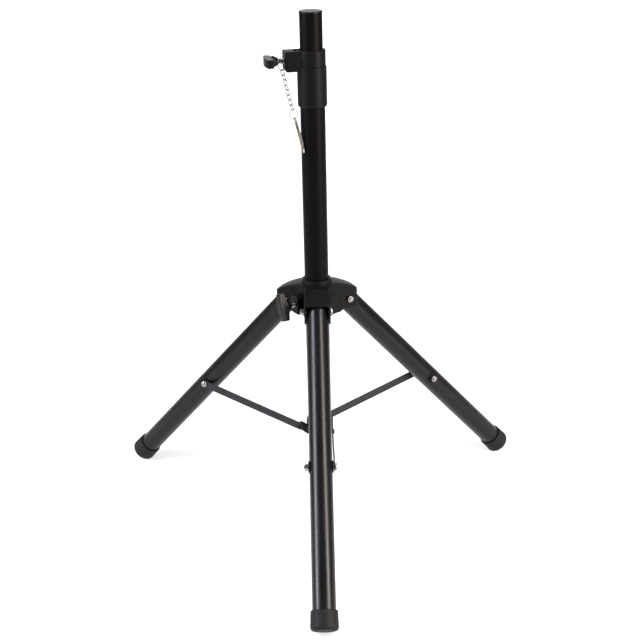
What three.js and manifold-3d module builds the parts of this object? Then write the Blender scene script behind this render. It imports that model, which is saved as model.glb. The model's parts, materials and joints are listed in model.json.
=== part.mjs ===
// A folding tripod stand for a loudspeaker: a telescopic pole in a mast, a sliding hub with three
// hinged tube legs, and three flat brace bars from the legs to a collar at the mast's lower end.
// Millimetres, +Z up. The origin is the centre of the stand's footprint box, on the floor.

import * as THREE from "three";
import { mergeVertices } from "three/addons/utils/BufferGeometryUtils.js";
import Module from "manifold-3d";

const wasm = await Module();
wasm.setup();

// ---------------------------------------------------------------- driving dimensions

const gap = 0.3; // clearance between two pieces that touch
const legNames = ["front", "right", "left"];
const firstLegAzimuth = -90; // degrees, about +Z from +X
const legSpacing = 360 / legNames.length;

const poleDiameter = 35; // the standard socket size of a loudspeaker
const poleWall = 1.5;
const poleLength = 560;
const poleShown = 58; // bare pole above the clamp when it is pushed right in
const capFlange = 3.5;
const capOverhang = 0.6;
const plugDepth = 14; // spigots of the cap and the plugs
const plugEdge = 1; // chamfer round the cap and the plugs
const pinHoleDiameter = 5;
const pinHoleCount = 5;
const pinHolePitch = 60;
const firstPinHole = 95; // below the pole's upper end

const mastWall = 1.5; // the pole slides in the mast's bore
const mastLength = 627;
const endPlugFlange = 4;

const clampLength = 87;
const clampSleeveWall = 3.1;
const clampLip = 0.1; // flat left by the chamfer round the sleeve's lower edge
const clampRingWall = 3.7;
const clampRingHeight = 25.3; // the narrower ring above the seam
const clampAzimuth = 191;
const clampPocketWall = 3.8; // from the pole's bore to the nut pocket
const clampPocketSide = 5.7; // beside the pocket
const clampBlockEnd = 14.6; // from the pocket to the block's end face
const clampBlockHeight = 31;

const screwDiameter = 8;
const nutWall = 2.5; // beside the thread, across the flats
const nutThickness = 6.2;
const shoeThickness = 2;
const poleKnobStandoff = 10; // from the block's end face to the knob
const hubKnobStandoff = 7.5;
const knobLength = 45;
const knobThickness = 13;
const knobDepth = 15;
const knobEndDepth = 11;
const knobCrown = 5; // how far the outer face bulges between its ends
const knobShoulder = 3.5; // from the crown's line to the outer face at the ends
const knobEndSlope = 1.5; // the inner face stands this much further in at the ends
const knobEdge = 1;
const knobCone = 6; // boss between the bar and the screw
const knobConeTipWall = 2;
const knobConeRoot = 19;
const knobConeInset = 1; // depth of the boss inside the bar
const poleKnobTurn = 90; // degrees from upright
const hubKnobTurn = 23;

const chainWire = 1.3;
const chainLoopLength = 21;
const chainLoopPlay = 0.6; // across the turned loop, more than the screw needs
const linkCount = 8;
const linkPitch = 7.8;
const linkWidth = 7.5;
const linkTwist = 30; // the links stand at this angle and at a right angle to it
const keyRingDiameter = 16;
const keyRingWire = 1.2;
const pinDiameter = 4;
const pinLength = 52;
const pinEyeDiameter = 6.3;
const pinEyeWire = 1.5;
const pinTipChamfer = 1;
const pinTipTaper = 2;
const pinNeck = 1;
const springWire = 0.9;
const springStart = 0.4; // below the pin's shoulder
const springShort = 6; // the wire ends this much above the pin's tip
const springBow = 1.3; // how far the wire bows away from the pin
const springSteps = 16;
const pinRestAzimuth = 226; // where the pin's tip leans on the mast

const legTubeDiameter = 35.5;
const legTubeWall = 1.5;
const legLength = 499; // from the pivot to the foot's sole
const legOpenAngle = 42.33; // degrees from upright
const legTopReach = 10; // tube above the pivot
const legTopClearance = 1.126; // to the hub's core as the leg turns
const footLength = 30;
const footWall = 2.8;
const footFlare = 1;
const footRim = 1; // chamfer round the cap's mouth
const footRimHeight = 1.2;
const footEdge = 6;
const footSole = 4;

const hubArmEnd = 16.5; // from a pivot to the end of its arm
const hubCheekWall = 2.85;
const hubWebFillet = 34;
const hubDomeRadius = 130;
const hubRoof = 3;
const hubRoofClearance = 0.27; // over the top corner of an open leg
const hubCollarWall = 2.4;
const hubCollarStep = 0.9;
const hubCollarEdge = 1;
const hubCollarHeight = 7.3;
const hubCheekDrop = 15.5;
const hubCoreDrop = 20.5;
const hubCoreWall = 5.1; // round the bush
const hubCoreFoot = 6; // how far the core's lower end stands out past its wall
const hubSlotClearance = 0.4; // between a leg tube and each cheek
const hubBushWall = 2;
const hubScrewHeight = 1.5;
const hubBossAzimuth = 210;
const hubPocketSide = 5.2;
const hubBossEnd = 9.2; // from the nut pocket to the boss's end face
const hubBossHeight = 31;

const pivotBoltDiameter = 6;
const pivotHeadDiameter = 12.5;
const pivotHeadHeight = 3.5;
const pivotNutFlats = 10;
const pivotNutThickness = 5;
const boltTip = 1.6; // thread that stands out of a nut
const domeShoulder = 0.7; // a domed head's flat top and straight rim, as shares of the head
const domeRim = 0.35;

const braceLength = 196; // between its two pivots
const braceWidth = 13;
const braceThickness = 2.2;
const bracePivotAlongLeg = 253.5; // from the leg's pivot
const braceBoltDiameter = 6;
const braceHeadDiameter = 11;
const braceHeadHeight = 3;
const saddleDiameter = 19;
const saddleSeat = 1.25; // washer between the tube and the bar

const spreaderLugReach = 4.6; // from the collar's band to a lug's pivot
const spreaderHeight = 24;
const spreaderWall = 2.8;
const spreaderLugThickness = 6;
const spreaderLugWidth = 15;
const spreaderAboveMastEnd = 19.5; // from the mast's lower end to the pivots
const rivetDiameter = 5;
const rivetHeadDiameter = 9;
const rivetHeadHeight = 2;
const collarScrewDiameter = 4;
const collarScrewAzimuth = 145;
const collarScrewHead = 7.5;
const collarScrewHeadHeight = 2;
const collarScrewEdge = 1;
const collarScrewDrop = 5; // below the collar's upper face

const overcut = 1; // how far a cutting tool runs past the face it opens
const tubeSides = 24;
const boltSides = 10;
const smallSides = 8;
const wireSides = 6;
const ringSteps = 18; // 2 more than a multiple of 4 puts a corner at a ring's top
const linkSteps = 10;
const crownSteps = 6;
const edgeSteps = 3;
const domeSteps = 6;

// ---------------------------------------------------------------- sizes that follow

const radians = THREE.MathUtils.degToRad;
const poleRadius = poleDiameter / 2;
const mastBore = poleRadius + gap;
const mastRadius = mastBore + mastWall;
const mastRoomRadius = mastRadius + gap;
const poleRoomRadius = poleRadius + gap;
const screwRadius = screwDiameter / 2;
const screwRoomRadius = screwRadius + gap;
const nutAcrossFlats = screwDiameter + 2 * nutWall;
const nutPocketLength = nutThickness + 2 * gap;
const nutPocketHalf = nutAcrossFlats / 2 + gap;
const nutPocketReach = nutAcrossFlats / Math.sqrt(3) + gap;
const chainLoopRun = (screwDiameter + chainWire + chainLoopPlay) / Math.cos(radians(linkTwist));
const chainLoopWidth = chainLoopRun + chainWire;
const legRadius = legTubeDiameter / 2;
const hubBushRadius = mastRoomRadius + hubBushWall;
const hubBushRoomRadius = hubBushRadius + gap;
const hubSlotStart = hubBushRoomRadius + hubCoreWall;
const legPivotRadius = hubSlotStart + Math.hypot(legTopReach, legRadius) + legTopClearance;
const spreaderPivotRadius = mastRoomRadius + spreaderWall + spreaderLugReach;
const footRadius = legRadius + gap + footWall - footFlare / 2;
const footSoleRadius = footRadius + footFlare;
const openAngle = radians(legOpenAngle);

// The foot's rounded edge touches the floor, which sets how high the pivots stand.
const footContact = (legLength - footEdge) * Math.cos(openAngle);
const pivotHeight = footContact + (footSoleRadius - footEdge) * Math.sin(openAngle) + footEdge;
const braceOuterRadius = legPivotRadius + bracePivotAlongLeg * Math.sin(openAngle);
const braceOuterHeight = pivotHeight - bracePivotAlongLeg * Math.cos(openAngle);
const braceRun = braceOuterRadius - spreaderPivotRadius;
const braceDip = Math.asin(Math.sqrt(1 - (braceRun / braceLength) ** 2));
const spreaderPivotHeight = braceOuterHeight - braceLength * Math.sin(braceDip);
const mastBottom = spreaderPivotHeight - spreaderAboveMastEnd;
const mastTop = mastBottom + mastLength;
const clampTop = mastTop + clampRingHeight;
const clampBottom = clampTop - clampLength;
const clampAxis = clampTop - clampBlockHeight / 2;
const poleTop = clampTop + poleShown - capFlange;
const poleBottom = poleTop - poleLength;
const clampPocketStart = poleRoomRadius + clampPocketWall;
const clampBlockReach = clampPocketStart + nutPocketLength + clampBlockEnd;
const hubCollarRadius = hubBushRoomRadius + hubCollarWall;
const hubReach = legPivotRadius + hubArmEnd;
const slotHalf = legRadius + hubSlotClearance;
const armHalf = slotHalf + hubCheekWall;
const hubBossReach = hubSlotStart + nutPocketLength + hubBossEnd;
const saddleFace = legRadius + gap + saddleSeat;
const braceInnerFace = saddleFace + gap;
const braceOuterFace = braceInnerFace + braceThickness;
const knobOuter = knobCone + knobDepth;
const knobBore = knobCone + knobDepth / 2;

// The dome clears the outer corner of an open leg's upper end, which sets its height.
const legCornerRadius = legPivotRadius - legTopReach * Math.sin(openAngle) + legRadius * Math.cos(openAngle);
const legCornerHeight = legTopReach * Math.cos(openAngle) + legRadius * Math.sin(openAngle);
const domeFall = Math.sqrt(hubDomeRadius ** 2 - legCornerRadius ** 2);
const hubDomeCentre = legCornerHeight + hubRoof + hubRoofClearance - domeFall;
const hubDomeHeight = hubDomeCentre + Math.sqrt(hubDomeRadius ** 2 - hubCollarRadius ** 2);

// ---------------------------------------------------------------- finishes

function finish(color, roughness, metalness) {
  return new THREE.MeshStandardMaterial({ color, roughness, metalness });
}

const powderCoat = finish(0x1c1c1e, 0.35, 0.2);
const mouldedPlastic = finish(0x262628, 0.6, 0);
const footRubber = finish(0x2e2e30, 0.8, 0);
const brightZinc = finish(0xc8c8cc, 0.25, 1);
const bearingPlastic = finish(0xd8d6cc, 0.5, 0);

// ---------------------------------------------------------------- solids from geometry

function toSolid(geometry) {
  const bare = geometry.clone();
  bare.deleteAttribute("normal");
  bare.deleteAttribute("uv");
  const merged = mergeVertices(bare, 1e-4);
  const vertProperties = merged.attributes.position.array;
  const triVerts = new Uint32Array(merged.index.array);
  return new wasm.Manifold(new wasm.Mesh({ numProp: 3, vertProperties, triVerts }));
}

function toGeometry(solid) {
  const mesh = solid.getMesh();
  const geometry = new THREE.BufferGeometry();
  geometry.setAttribute("position", new THREE.BufferAttribute(mesh.vertProperties, 3));
  geometry.setIndex(new THREE.BufferAttribute(mesh.triVerts, 1));
  geometry.computeVertexNormals();
  return geometry;
}

function join(first, ...others) {
  return toGeometry(others.reduce((sum, other) => sum.add(toSolid(other)), toSolid(first)));
}

function cut(first, ...tools) {
  return toGeometry(tools.reduce((rest, tool) => rest.subtract(toSolid(tool)), toSolid(first)));
}

function common(first, second) {
  return toGeometry(toSolid(first).intersect(toSolid(second)));
}

// ---------------------------------------------------------------- shapes

// A profile of [radius, height] points turned about +Z.
function turned(profile, sides = tubeSides) {
  const points = profile.map(([radius, height]) => new THREE.Vector2(radius, height));
  return new THREE.LatheGeometry(points, sides).rotateX(Math.PI / 2);
}

function rod(radius, from, to, sides = tubeSides) {
  return turned([[0, from], [radius, from], [radius, to], [0, to]], sides);
}

function sleeve(inner, outer, from, to, sides = tubeSides) {
  return turned([[inner, from], [outer, from], [outer, to], [inner, to], [inner, from]], sides);
}

function block(x, y, z) {
  const size = new THREE.BoxGeometry(x[1] - x[0], y[1] - y[0], z[1] - z[0]);
  return size.translate((x[0] + x[1]) / 2, (y[0] + y[1]) / 2, (z[0] + z[1]) / 2);
}

function slab(shape, from, to, curveSegments = boltSides) {
  const options = { depth: to - from, bevelEnabled: false, curveSegments };
  return new THREE.ExtrudeGeometry(shape, options).translate(0, 0, from);
}

const alongX = (geometry) => geometry.rotateY(Math.PI / 2);
const alongY = (geometry) => geometry.rotateX(-Math.PI / 2);
const facing = (geometry, azimuth) => geometry.rotateZ(radians(azimuth));

// A shape drawn in X and Z, given a thickness from one Y to another.
function upright(shape, from, to) {
  return slab(shape, -to, -from).rotateX(Math.PI / 2);
}

function polygon(corners) {
  return new THREE.Shape(corners.map(([x, y]) => new THREE.Vector2(x, y)));
}

function hexagon(acrossFlats) {
  const corner = acrossFlats / Math.sqrt(3);
  return polygon(Array.from({ length: 6 }, (_, side) => [
    corner * Math.cos(radians(60 * side)),
    corner * Math.sin(radians(60 * side)),
  ]));
}

// A hexagon nut on +Z with a clearance hole.
function hexNut(acrossFlats, boltRadius, from, to) {
  const hole = rod(boltRadius + gap, from - overcut, to + overcut, boltSides);
  return cut(slab(hexagon(acrossFlats), from, to), hole);
}

// A ring of round wire in the XZ plane, lengthened along Z between its two half circles.
function wireLoop(length, width, wire, steps = ringSteps) {
  const stretch = (length - width) / 2;
  const ring = new THREE.TorusGeometry((width - wire) / 2, wire / 2, wireSides, steps);
  ring.rotateZ(Math.PI / steps).rotateX(Math.PI / 2);
  const place = ring.attributes.position;
  for (let i = 0; i < place.count; i++) {
    const height = place.getZ(i);
    place.setZ(i, height + Math.sign(height) * stretch);
  }
  return ring;
}

function wireAlong(points, wire, steps) {
  const section = new THREE.Shape().absarc(0, 0, wire / 2, 0, 2 * Math.PI);
  const extrudePath = new THREE.CatmullRomCurve3(points);
  const options = { steps, extrudePath, curveSegments: wireSides / 2, bevelEnabled: false };
  return new THREE.ExtrudeGeometry(section, options);
}

// ---------------------------------------------------------------- scene graph helpers

function frameAt(parent, x = 0, y = 0, z = 0) {
  const frame = new THREE.Group();
  frame.position.set(x, y, z);
  parent.add(frame);
  return frame;
}

function piece(name, geometry, material, parent) {
  const mesh = new THREE.Mesh(geometry, material);
  mesh.name = name;
  parent.add(mesh);
  return mesh;
}

// ---------------------------------------------------------------- mast and pole

function buildMast(parent) {
  piece("mast_tube", sleeve(mastBore, mastRadius, mastBottom, mastTop), powderCoat, parent);
  const plugRadius = mastBore - gap;
  const spigotEnd = mastBottom + plugDepth;
  const flangeFace = mastBottom - gap;
  const flangeEnd = flangeFace - endPlugFlange;
  const plug = turned([
    [0, flangeEnd], [mastRadius - plugEdge, flangeEnd], [mastRadius, flangeEnd + plugEdge],
    [mastRadius, flangeFace], [plugRadius, flangeFace], [plugRadius, spigotEnd], [0, spigotEnd],
  ]);
  piece("mast_end_plug", plug, mouldedPlastic, parent);
}

function buildPole(parent) {
  const tube = sleeve(poleRadius - poleWall, poleRadius, poleBottom, poleTop);
  const holes = Array.from({ length: pinHoleCount }, (_, i) =>
    alongX(rod(pinHoleDiameter / 2, -poleDiameter, poleDiameter, smallSides))
      .translate(0, 0, poleTop - firstPinHole - i * pinHolePitch));
  piece("inner_pole", cut(tube, ...holes), powderCoat, parent);

  const spigot = poleRadius - poleWall - gap;
  const brim = poleRadius + capOverhang;
  const seat = poleTop + gap;
  const crown = poleTop + capFlange;
  const cap = turned([
    [0, poleTop - plugDepth], [spigot, poleTop - plugDepth], [spigot, seat], [brim, seat],
    [brim, crown - plugEdge], [brim - plugEdge, crown], [0, crown],
  ]);
  piece("pole_top_cap", cap, mouldedPlastic, parent);

  const foot = poleBottom - gap;
  const footEnd = foot - endPlugFlange;
  const plug = turned([
    [0, footEnd], [poleRadius - plugEdge, footEnd], [poleRadius, footEnd + plugEdge], [poleRadius, foot],
    [spigot, foot], [spigot, poleBottom + plugDepth], [0, poleBottom + plugDepth],
  ]);
  piece("pole_end_plug", plug, mouldedPlastic, parent);
}

function buildPoleClamp(parent) {
  const sleeveRadius = mastRoomRadius + clampSleeveWall;
  const ringRadius = poleRoomRadius + clampRingWall;
  const chamfer = clampSleeveWall - clampLip;
  const shelf = mastTop + gap;
  const shell = turned([
    [mastRoomRadius, clampBottom], [sleeveRadius - chamfer, clampBottom],
    [sleeveRadius, clampBottom + chamfer], [sleeveRadius, mastTop], [ringRadius, mastTop],
    [ringRadius, clampTop], [poleRoomRadius, clampTop], [poleRoomRadius, shelf], [mastRoomRadius, shelf],
    [mastRoomRadius, clampBottom],
  ]);
  const halfWidth = nutPocketHalf + clampPocketSide;
  const blockBottom = clampTop - clampBlockHeight;
  const side = polygon([
    [poleRoomRadius, blockBottom], [clampBlockReach - chamfer, blockBottom],
    [clampBlockReach, blockBottom + chamfer], [clampBlockReach, clampTop], [poleRoomRadius, clampTop],
  ]);
  const arm = facing(upright(side, -halfWidth, halfWidth), clampAzimuth);
  const mastRoom = rod(mastRoomRadius, clampBottom - overcut, shelf);
  const poleRoom = rod(poleRoomRadius, mastTop, clampTop + overcut);
  const screwHole = alongX(rod(screwRoomRadius, 0, clampBlockReach + overcut, boltSides));
  const pocket = block(
    [clampPocketStart, clampPocketStart + nutPocketLength], [-nutPocketHalf, nutPocketHalf],
    [-nutPocketReach, clampBlockHeight / 2 + overcut],
  );
  const openings = [screwHole, pocket].map((room) => facing(room.translate(0, 0, clampAxis), clampAzimuth));
  piece("pole_clamp", cut(join(shell, arm), mastRoom, poleRoom, ...openings), mouldedPlastic, parent);

  const nutStart = clampPocketStart + gap;
  const nut = hexNut(nutAcrossFlats, screwRadius, nutStart, nutStart + nutThickness);
  const standing = facing(alongX(nut).translate(0, 0, clampAxis), clampAzimuth);
  piece("clamp_nut", standing, brightZinc, parent);
}

// ---------------------------------------------------------------- clamp knobs

// The bar's outline in depth (X) and length (Y): a crowned outer face and an inner face that
// runs back from the boss to the shallower ends.
function knobBar() {
  const half = knobLength / 2;
  const inner = knobCone;
  const endInner = knobOuter - knobEndDepth - knobEndSlope;
  const endOuter = knobOuter - knobShoulder;
  const shape = new THREE.Shape();
  shape.moveTo(inner, -knobConeRoot / 2);
  shape.lineTo(endInner, -half + knobEdge);
  shape.lineTo(endInner + knobEdge, -half);
  shape.lineTo(endOuter, -half);
  shape.quadraticCurveTo(endOuter + knobCrown, 0, endOuter, half);
  shape.lineTo(endInner + knobEdge, half);
  shape.lineTo(endInner, half - knobEdge);
  shape.lineTo(inner, knobConeRoot / 2);
  shape.closePath();
  return new THREE.ExtrudeGeometry(shape, {
    depth: knobThickness - 2 * knobEdge, bevelSize: knobEdge, bevelOffset: -knobEdge,
    bevelThickness: knobEdge, bevelSegments: 1, curveSegments: crownSteps,
  }).translate(0, 0, knobEdge - knobThickness / 2).rotateX(Math.PI / 2);
}

// A knob whose screw runs along +X of the frame; reach is where its boss starts and tip is
// where the screw presses on its shoe.
function buildKnob(prefix, frame, tip, reach, turn) {
  const grip = frameAt(frame, reach);
  grip.rotation.x = radians(turn);
  const bossEnd = knobCone + knobConeInset;
  const boss = alongX(turned([
    [0, 0], [screwRadius + knobConeTipWall, 0], [knobConeRoot / 2, bossEnd], [0, bossEnd],
  ], 2 * boltSides));
  const screwRoom = alongX(rod(screwRoomRadius, -overcut, knobBore, boltSides));
  piece(prefix + "_handle", cut(join(knobBar(), boss), screwRoom), mouldedPlastic, grip);
  const screwEnd = reach + knobBore - gap;
  const screwStart = tip + shoeThickness + 2 * gap;
  piece(prefix + "_screw", alongX(rod(screwRadius, screwStart, screwEnd, boltSides)), brightZinc, frame);
  const shoe = rod(screwRadius - gap, tip + gap, tip + gap + shoeThickness, boltSides);
  piece(prefix + "_shoe", alongX(shoe), bearingPlastic, frame);
}

// ---------------------------------------------------------------- chain and safety pin

function buildChain(parent) {
  const heading = radians(clampAzimuth);
  const loopHalfDepth = (chainLoopRun * Math.sin(radians(linkTwist)) + chainWire) / 2;
  const loopRadius = clampBlockReach + poleKnobStandoff - loopHalfDepth - gap;
  const [startX, startY] = [loopRadius * Math.cos(heading), loopRadius * Math.sin(heading)];
  const start = new THREE.Vector3(startX, startY, clampAxis);

  // Distances down the chain from the screw's axis.
  const hook = 2 * chainWire - (chainWire - gap);
  const loopTop = -(screwRadius + chainLoopPlay + chainWire + gap);
  const loopCentre = loopTop + chainLoopLength / 2;
  const linkLength = linkPitch + chainWire + hook;
  const firstLink = loopTop + chainLoopLength - chainWire - hook + linkLength / 2;
  const lastLink = firstLink + (linkCount - 1) * linkPitch;
  const ringHook = keyRingWire + gap + chainWire;
  const ringCentre = lastLink + linkLength / 2 - ringHook + keyRingDiameter / 2;
  const eyeHook = keyRingWire + gap + pinEyeWire;
  const eyeCentre = ringCentre + keyRingDiameter / 2 - eyeHook + pinEyeDiameter / 2;
  const pinTop = eyeCentre + pinEyeDiameter / 2 - pinEyeWire / 2;
  const pinTip = pinTop + pinLength;

  // The pin's tip leans on the mast, which sets the chain's slant.
  const lean = mastRadius + pinDiameter / 2 + gap;
  const restAzimuth = radians(pinRestAzimuth);
  const tipX = lean * Math.cos(restAzimuth) - start.x;
  const tipY = lean * Math.sin(restAzimuth) - start.y;
  const drop = Math.sqrt(pinTip ** 2 - tipX ** 2 - tipY ** 2);
  const down = new THREE.Vector3(tipX, tipY, -drop).normalize();

  // Local -Z runs down the chain, and local X lies square to the screw.
  const side = new THREE.Vector3(-Math.sin(heading), Math.cos(heading), 0);
  side.addScaledVector(down, -side.dot(down)).normalize();
  const up = down.clone().negate();
  const frame = frameAt(parent, start.x, start.y, start.z);
  frame.quaternion.setFromRotationMatrix(
    new THREE.Matrix4().makeBasis(side, new THREE.Vector3().crossVectors(up, side), up),
  );
  const hang = (name, geometry, distance, turn) => {
    const ring = piece(name, geometry, brightZinc, frame);
    ring.position.z = -distance;
    ring.rotation.z = radians(turn);
  };
  hang("chain_loop", wireLoop(chainLoopLength, chainLoopWidth, chainWire), loopCentre, linkTwist);
  for (let i = 0; i < linkCount; i++) {
    const link = wireLoop(linkLength, linkWidth, chainWire, linkSteps);
    hang("chain_link_" + (i + 1), link, firstLink + i * linkPitch, linkTwist + 90 * ((i + 1) % 2));
  }
  const ringTurn = linkTwist + 90 * ((linkCount + 1) % 2);
  hang("key_ring", wireLoop(keyRingDiameter, keyRingDiameter, keyRingWire), ringCentre, ringTurn);

  const eye = wireLoop(pinEyeDiameter, pinEyeDiameter, pinEyeWire);
  const pinRadius = pinDiameter / 2;
  const tip = eyeCentre - pinTip;
  const shoulder = eyeCentre - pinTop;
  const shank = turned([
    [0, tip], [pinRadius - pinTipChamfer, tip], [pinRadius, tip + pinTipTaper],
    [pinRadius, shoulder - pinNeck], [pinEyeWire / 2, shoulder], [0, shoulder],
  ], boltSides);
  hang("safety_pin", join(eye, shank), eyeCentre, ringTurn + 90);

  // The wire leaves the pin at its shoulder, bows out and comes back to it near the tip.
  const beside = pinRadius + gap + springWire / 2;
  const springLength = pinLength - springStart - springShort;
  const bow = [0, 0.3, 0.6, 0.85, 1].map((share) => {
    const out = springBow * Math.sin(Math.PI * share);
    return new THREE.Vector3(-beside - out, 0, shoulder - springStart - springLength * share);
  });
  const clip = wireAlong(bow, springWire, springSteps);
  hang("pin_spring_wire", clip, eyeCentre, ringTurn + 90);
}

// ---------------------------------------------------------------- hub

// Three arms with concave webs between them.
function hubOutline() {
  const shape = new THREE.Shape();
  const corner = armHalf / Math.sin(radians(legSpacing / 2));
  const filletCentre = corner + hubWebFillet / Math.sin(radians(legSpacing / 2));
  legNames.forEach((_, i) => {
    const azimuth = firstLegAzimuth + i * legSpacing;
    const turn = radians(azimuth);
    const at = (x, y) => [
      x * Math.cos(turn) - y * Math.sin(turn),
      x * Math.sin(turn) + y * Math.cos(turn),
    ];
    shape[i ? "lineTo" : "moveTo"](...at(hubReach, -armHalf));
    shape.lineTo(...at(hubReach, armHalf));
    const middle = azimuth + legSpacing / 2;
    const centre = [filletCentre * Math.cos(radians(middle)), filletCentre * Math.sin(radians(middle))];
    const half = (180 - legSpacing) / 2;
    shape.absarc(...centre, hubWebFillet, radians(middle + 180 + half), radians(middle + 180 - half), true);
  });
  return shape.closePath();
}

// The hub's turned upper surface, lowered by a roof's thickness for the slots under it.
function hubDome(floor, lower) {
  const wide = hubReach + armHalf;
  const arc = Array.from({ length: domeSteps + 1 }, (_, i) => {
    const radius = wide * (1 - i / domeSteps);
    return [radius, hubDomeCentre + Math.sqrt(hubDomeRadius ** 2 - radius ** 2) - lower];
  });
  return turned([[0, floor], [wide, floor], ...arc], 2 * tubeSides);
}

function hubCollar() {
  const top = hubDomeHeight + hubCollarHeight;
  const step = hubDomeHeight + hubCollarHeight / 2;
  const upper = hubCollarRadius - hubCollarStep;
  return turned([
    [0, 0], [hubCollarRadius, 0], [hubCollarRadius, step], [upper, step], [upper, top - hubCollarEdge],
    [upper - hubCollarEdge, top], [0, top],
  ]);
}

// What is cut from one arm, along +X: the leg's slot, the room under the cheeks and the bolt's hole.
function armRooms() {
  const wide = hubReach + armHalf;
  const below = -hubCoreDrop - overcut;
  const slotBox = block([hubSlotStart, wide], [-slotHalf, slotHalf], [below, hubDomeHeight]);
  const slot = common(slotBox, hubDome(below, hubRoof));
  const under = block([hubSlotStart + hubCoreFoot, wide], [-wide / 2, wide / 2], [below, -hubCheekDrop]);
  const reach = armHalf + overcut;
  const boltHole = alongY(rod(pivotBoltDiameter / 2 + gap, -reach, reach, boltSides));
  return [slot, under, boltHole.translate(legPivotRadius, 0, 0)];
}

function buildHub(parent) {
  const below = -hubCoreDrop - overcut;
  const collarTop = hubDomeHeight + hubCollarHeight;
  const prism = slab(hubOutline(), -hubCoreDrop, collarTop, smallSides);
  const arms = common(prism, hubDome(-hubCoreDrop, 0));
  const bossHalf = nutPocketHalf + hubPocketSide;
  const bossBox = block(
    [hubBushRadius, hubBossReach], [-bossHalf, bossHalf], [-hubBossHeight / 2, hubBossHeight / 2],
  );
  const screwHole = alongX(rod(screwRoomRadius, 0, hubBossReach + overcut, boltSides));
  const pocket = block(
    [hubSlotStart, hubSlotStart + nutPocketLength], [-nutPocketHalf, nutPocketHalf],
    [below - hubScrewHeight, nutPocketReach],
  );
  const [boss, ...bossRooms] = [bossBox, screwHole, pocket].map((shape) =>
    facing(shape.translate(0, 0, hubScrewHeight), hubBossAzimuth));
  const legRooms = legNames.flatMap((_, i) =>
    armRooms().map((room) => facing(room, firstLegAzimuth + i * legSpacing)));
  const bushRoom = rod(hubBushRoomRadius, below, collarTop - hubBushWall);
  const mastRoom = rod(mastRoomRadius, below, collarTop + overcut);
  const whole = cut(join(arms, hubCollar(), boss), ...legRooms, bushRoom, mastRoom, ...bossRooms);
  piece("hub_body", whole, mouldedPlastic, parent);

  const bushTube = sleeve(mastRoomRadius, hubBushRadius, -hubCoreDrop, collarTop - hubBushWall - gap);
  piece("hub_bush", cut(bushTube, bossRooms[0]), bearingPlastic, parent);

  const nutStart = hubSlotStart + gap;
  const nut = hexNut(nutAcrossFlats, screwRadius, nutStart, nutStart + nutThickness);
  piece("hub_nut", facing(alongX(nut).translate(0, 0, hubScrewHeight), hubBossAzimuth), brightZinc, parent);
}

// ---------------------------------------------------------------- legs and braces

// A bolt along +Y with its domed head at the far end.
function domedBolt(radius, headRadius, headHeight, from, seat) {
  const top = seat + headHeight;
  return alongY(turned([
    [0, from], [radius, from], [radius, seat], [headRadius, seat], [headRadius, seat + headHeight * domeRim],
    [headRadius * domeShoulder, top], [0, top],
  ], boltSides));
}

function buildLegPivot(name, armFrame) {
  const pivot = frameAt(armFrame, legPivotRadius);
  const nutSeat = armHalf + gap;
  const nutEnd = nutSeat + pivotNutThickness;
  const radius = pivotBoltDiameter / 2;
  const bolt = domedBolt(radius, pivotHeadDiameter / 2, pivotHeadHeight, -nutEnd - boltTip, armHalf + gap);
  piece("leg_pivot_bolt_" + name, bolt, brightZinc, pivot);
  const nut = alongY(hexNut(pivotNutFlats, radius, -nutEnd, -nutSeat));
  piece("leg_pivot_nut_" + name, nut, brightZinc, pivot);
}

function buildLeg(name, armFrame) {
  const leg = frameAt(armFrame, legPivotRadius, 0, pivotHeight);
  leg.rotation.y = -openAngle;
  const tubeEnd = -(legLength - footSole - gap);
  const pivotHole = alongY(rod(pivotBoltDiameter / 2 + gap, -legTubeDiameter, legTubeDiameter, boltSides));
  const braceHole = alongY(rod(braceBoltDiameter / 2 + gap, -legTubeDiameter, legTubeDiameter, boltSides))
    .translate(0, 0, -bracePivotAlongLeg);
  const tube = sleeve(legRadius - legTubeWall, legRadius, tubeEnd, legTopReach);
  piece("leg_tube_" + name, cut(tube, pivotHole, braceHole), powderCoat, leg);

  const rim = footLength - legLength;
  const edge = Array.from({ length: edgeSteps + 1 }, (_, i) => {
    const turn = (i / edgeSteps) * (Math.PI / 2);
    return [
      footSoleRadius - footEdge + footEdge * Math.sin(turn),
      footEdge - legLength - footEdge * Math.cos(turn),
    ];
  });
  const inside = legRadius + gap;
  const foot = turned([
    [0, -legLength], ...edge, [footRadius, rim - footRimHeight], [footRadius - footRim, rim], [inside, rim],
    [inside, footSole - legLength], [0, footSole - legLength],
  ]);
  piece("foot_cap_" + name, foot, footRubber, leg);

  const joint = frameAt(leg, 0, 0, -bracePivotAlongLeg);
  const radius = braceBoltDiameter / 2;
  const nutSeat = saddleFace + gap;
  const nutEnd = nutSeat + pivotNutThickness;
  const bolt = domedBolt(
    radius, braceHeadDiameter / 2, braceHeadHeight, -nutEnd - boltTip, braceOuterFace + gap,
  );
  piece("brace_bolt_" + name, bolt, brightZinc, joint);
  piece("brace_nut_" + name, alongY(hexNut(pivotNutFlats, radius, -nutEnd, -nutSeat)), brightZinc, joint);
  const tubeRoom = rod(legRadius + gap, -saddleDiameter, saddleDiameter);
  [["outer", 1, braceInnerFace - gap], ["inner", -1, saddleFace]].forEach(([side, sign, face]) => {
    const span = sign > 0 ? [0, face] : [-face, 0];
    const disc = alongY(rod(saddleDiameter / 2, ...span, 2 * boltSides));
    const hole = alongY(rod(radius + gap, -legTubeDiameter, legTubeDiameter, boltSides));
    piece(`saddle_washer_${side}_${name}`, cut(disc, tubeRoom, hole), mouldedPlastic, joint);
  });
}

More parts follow.
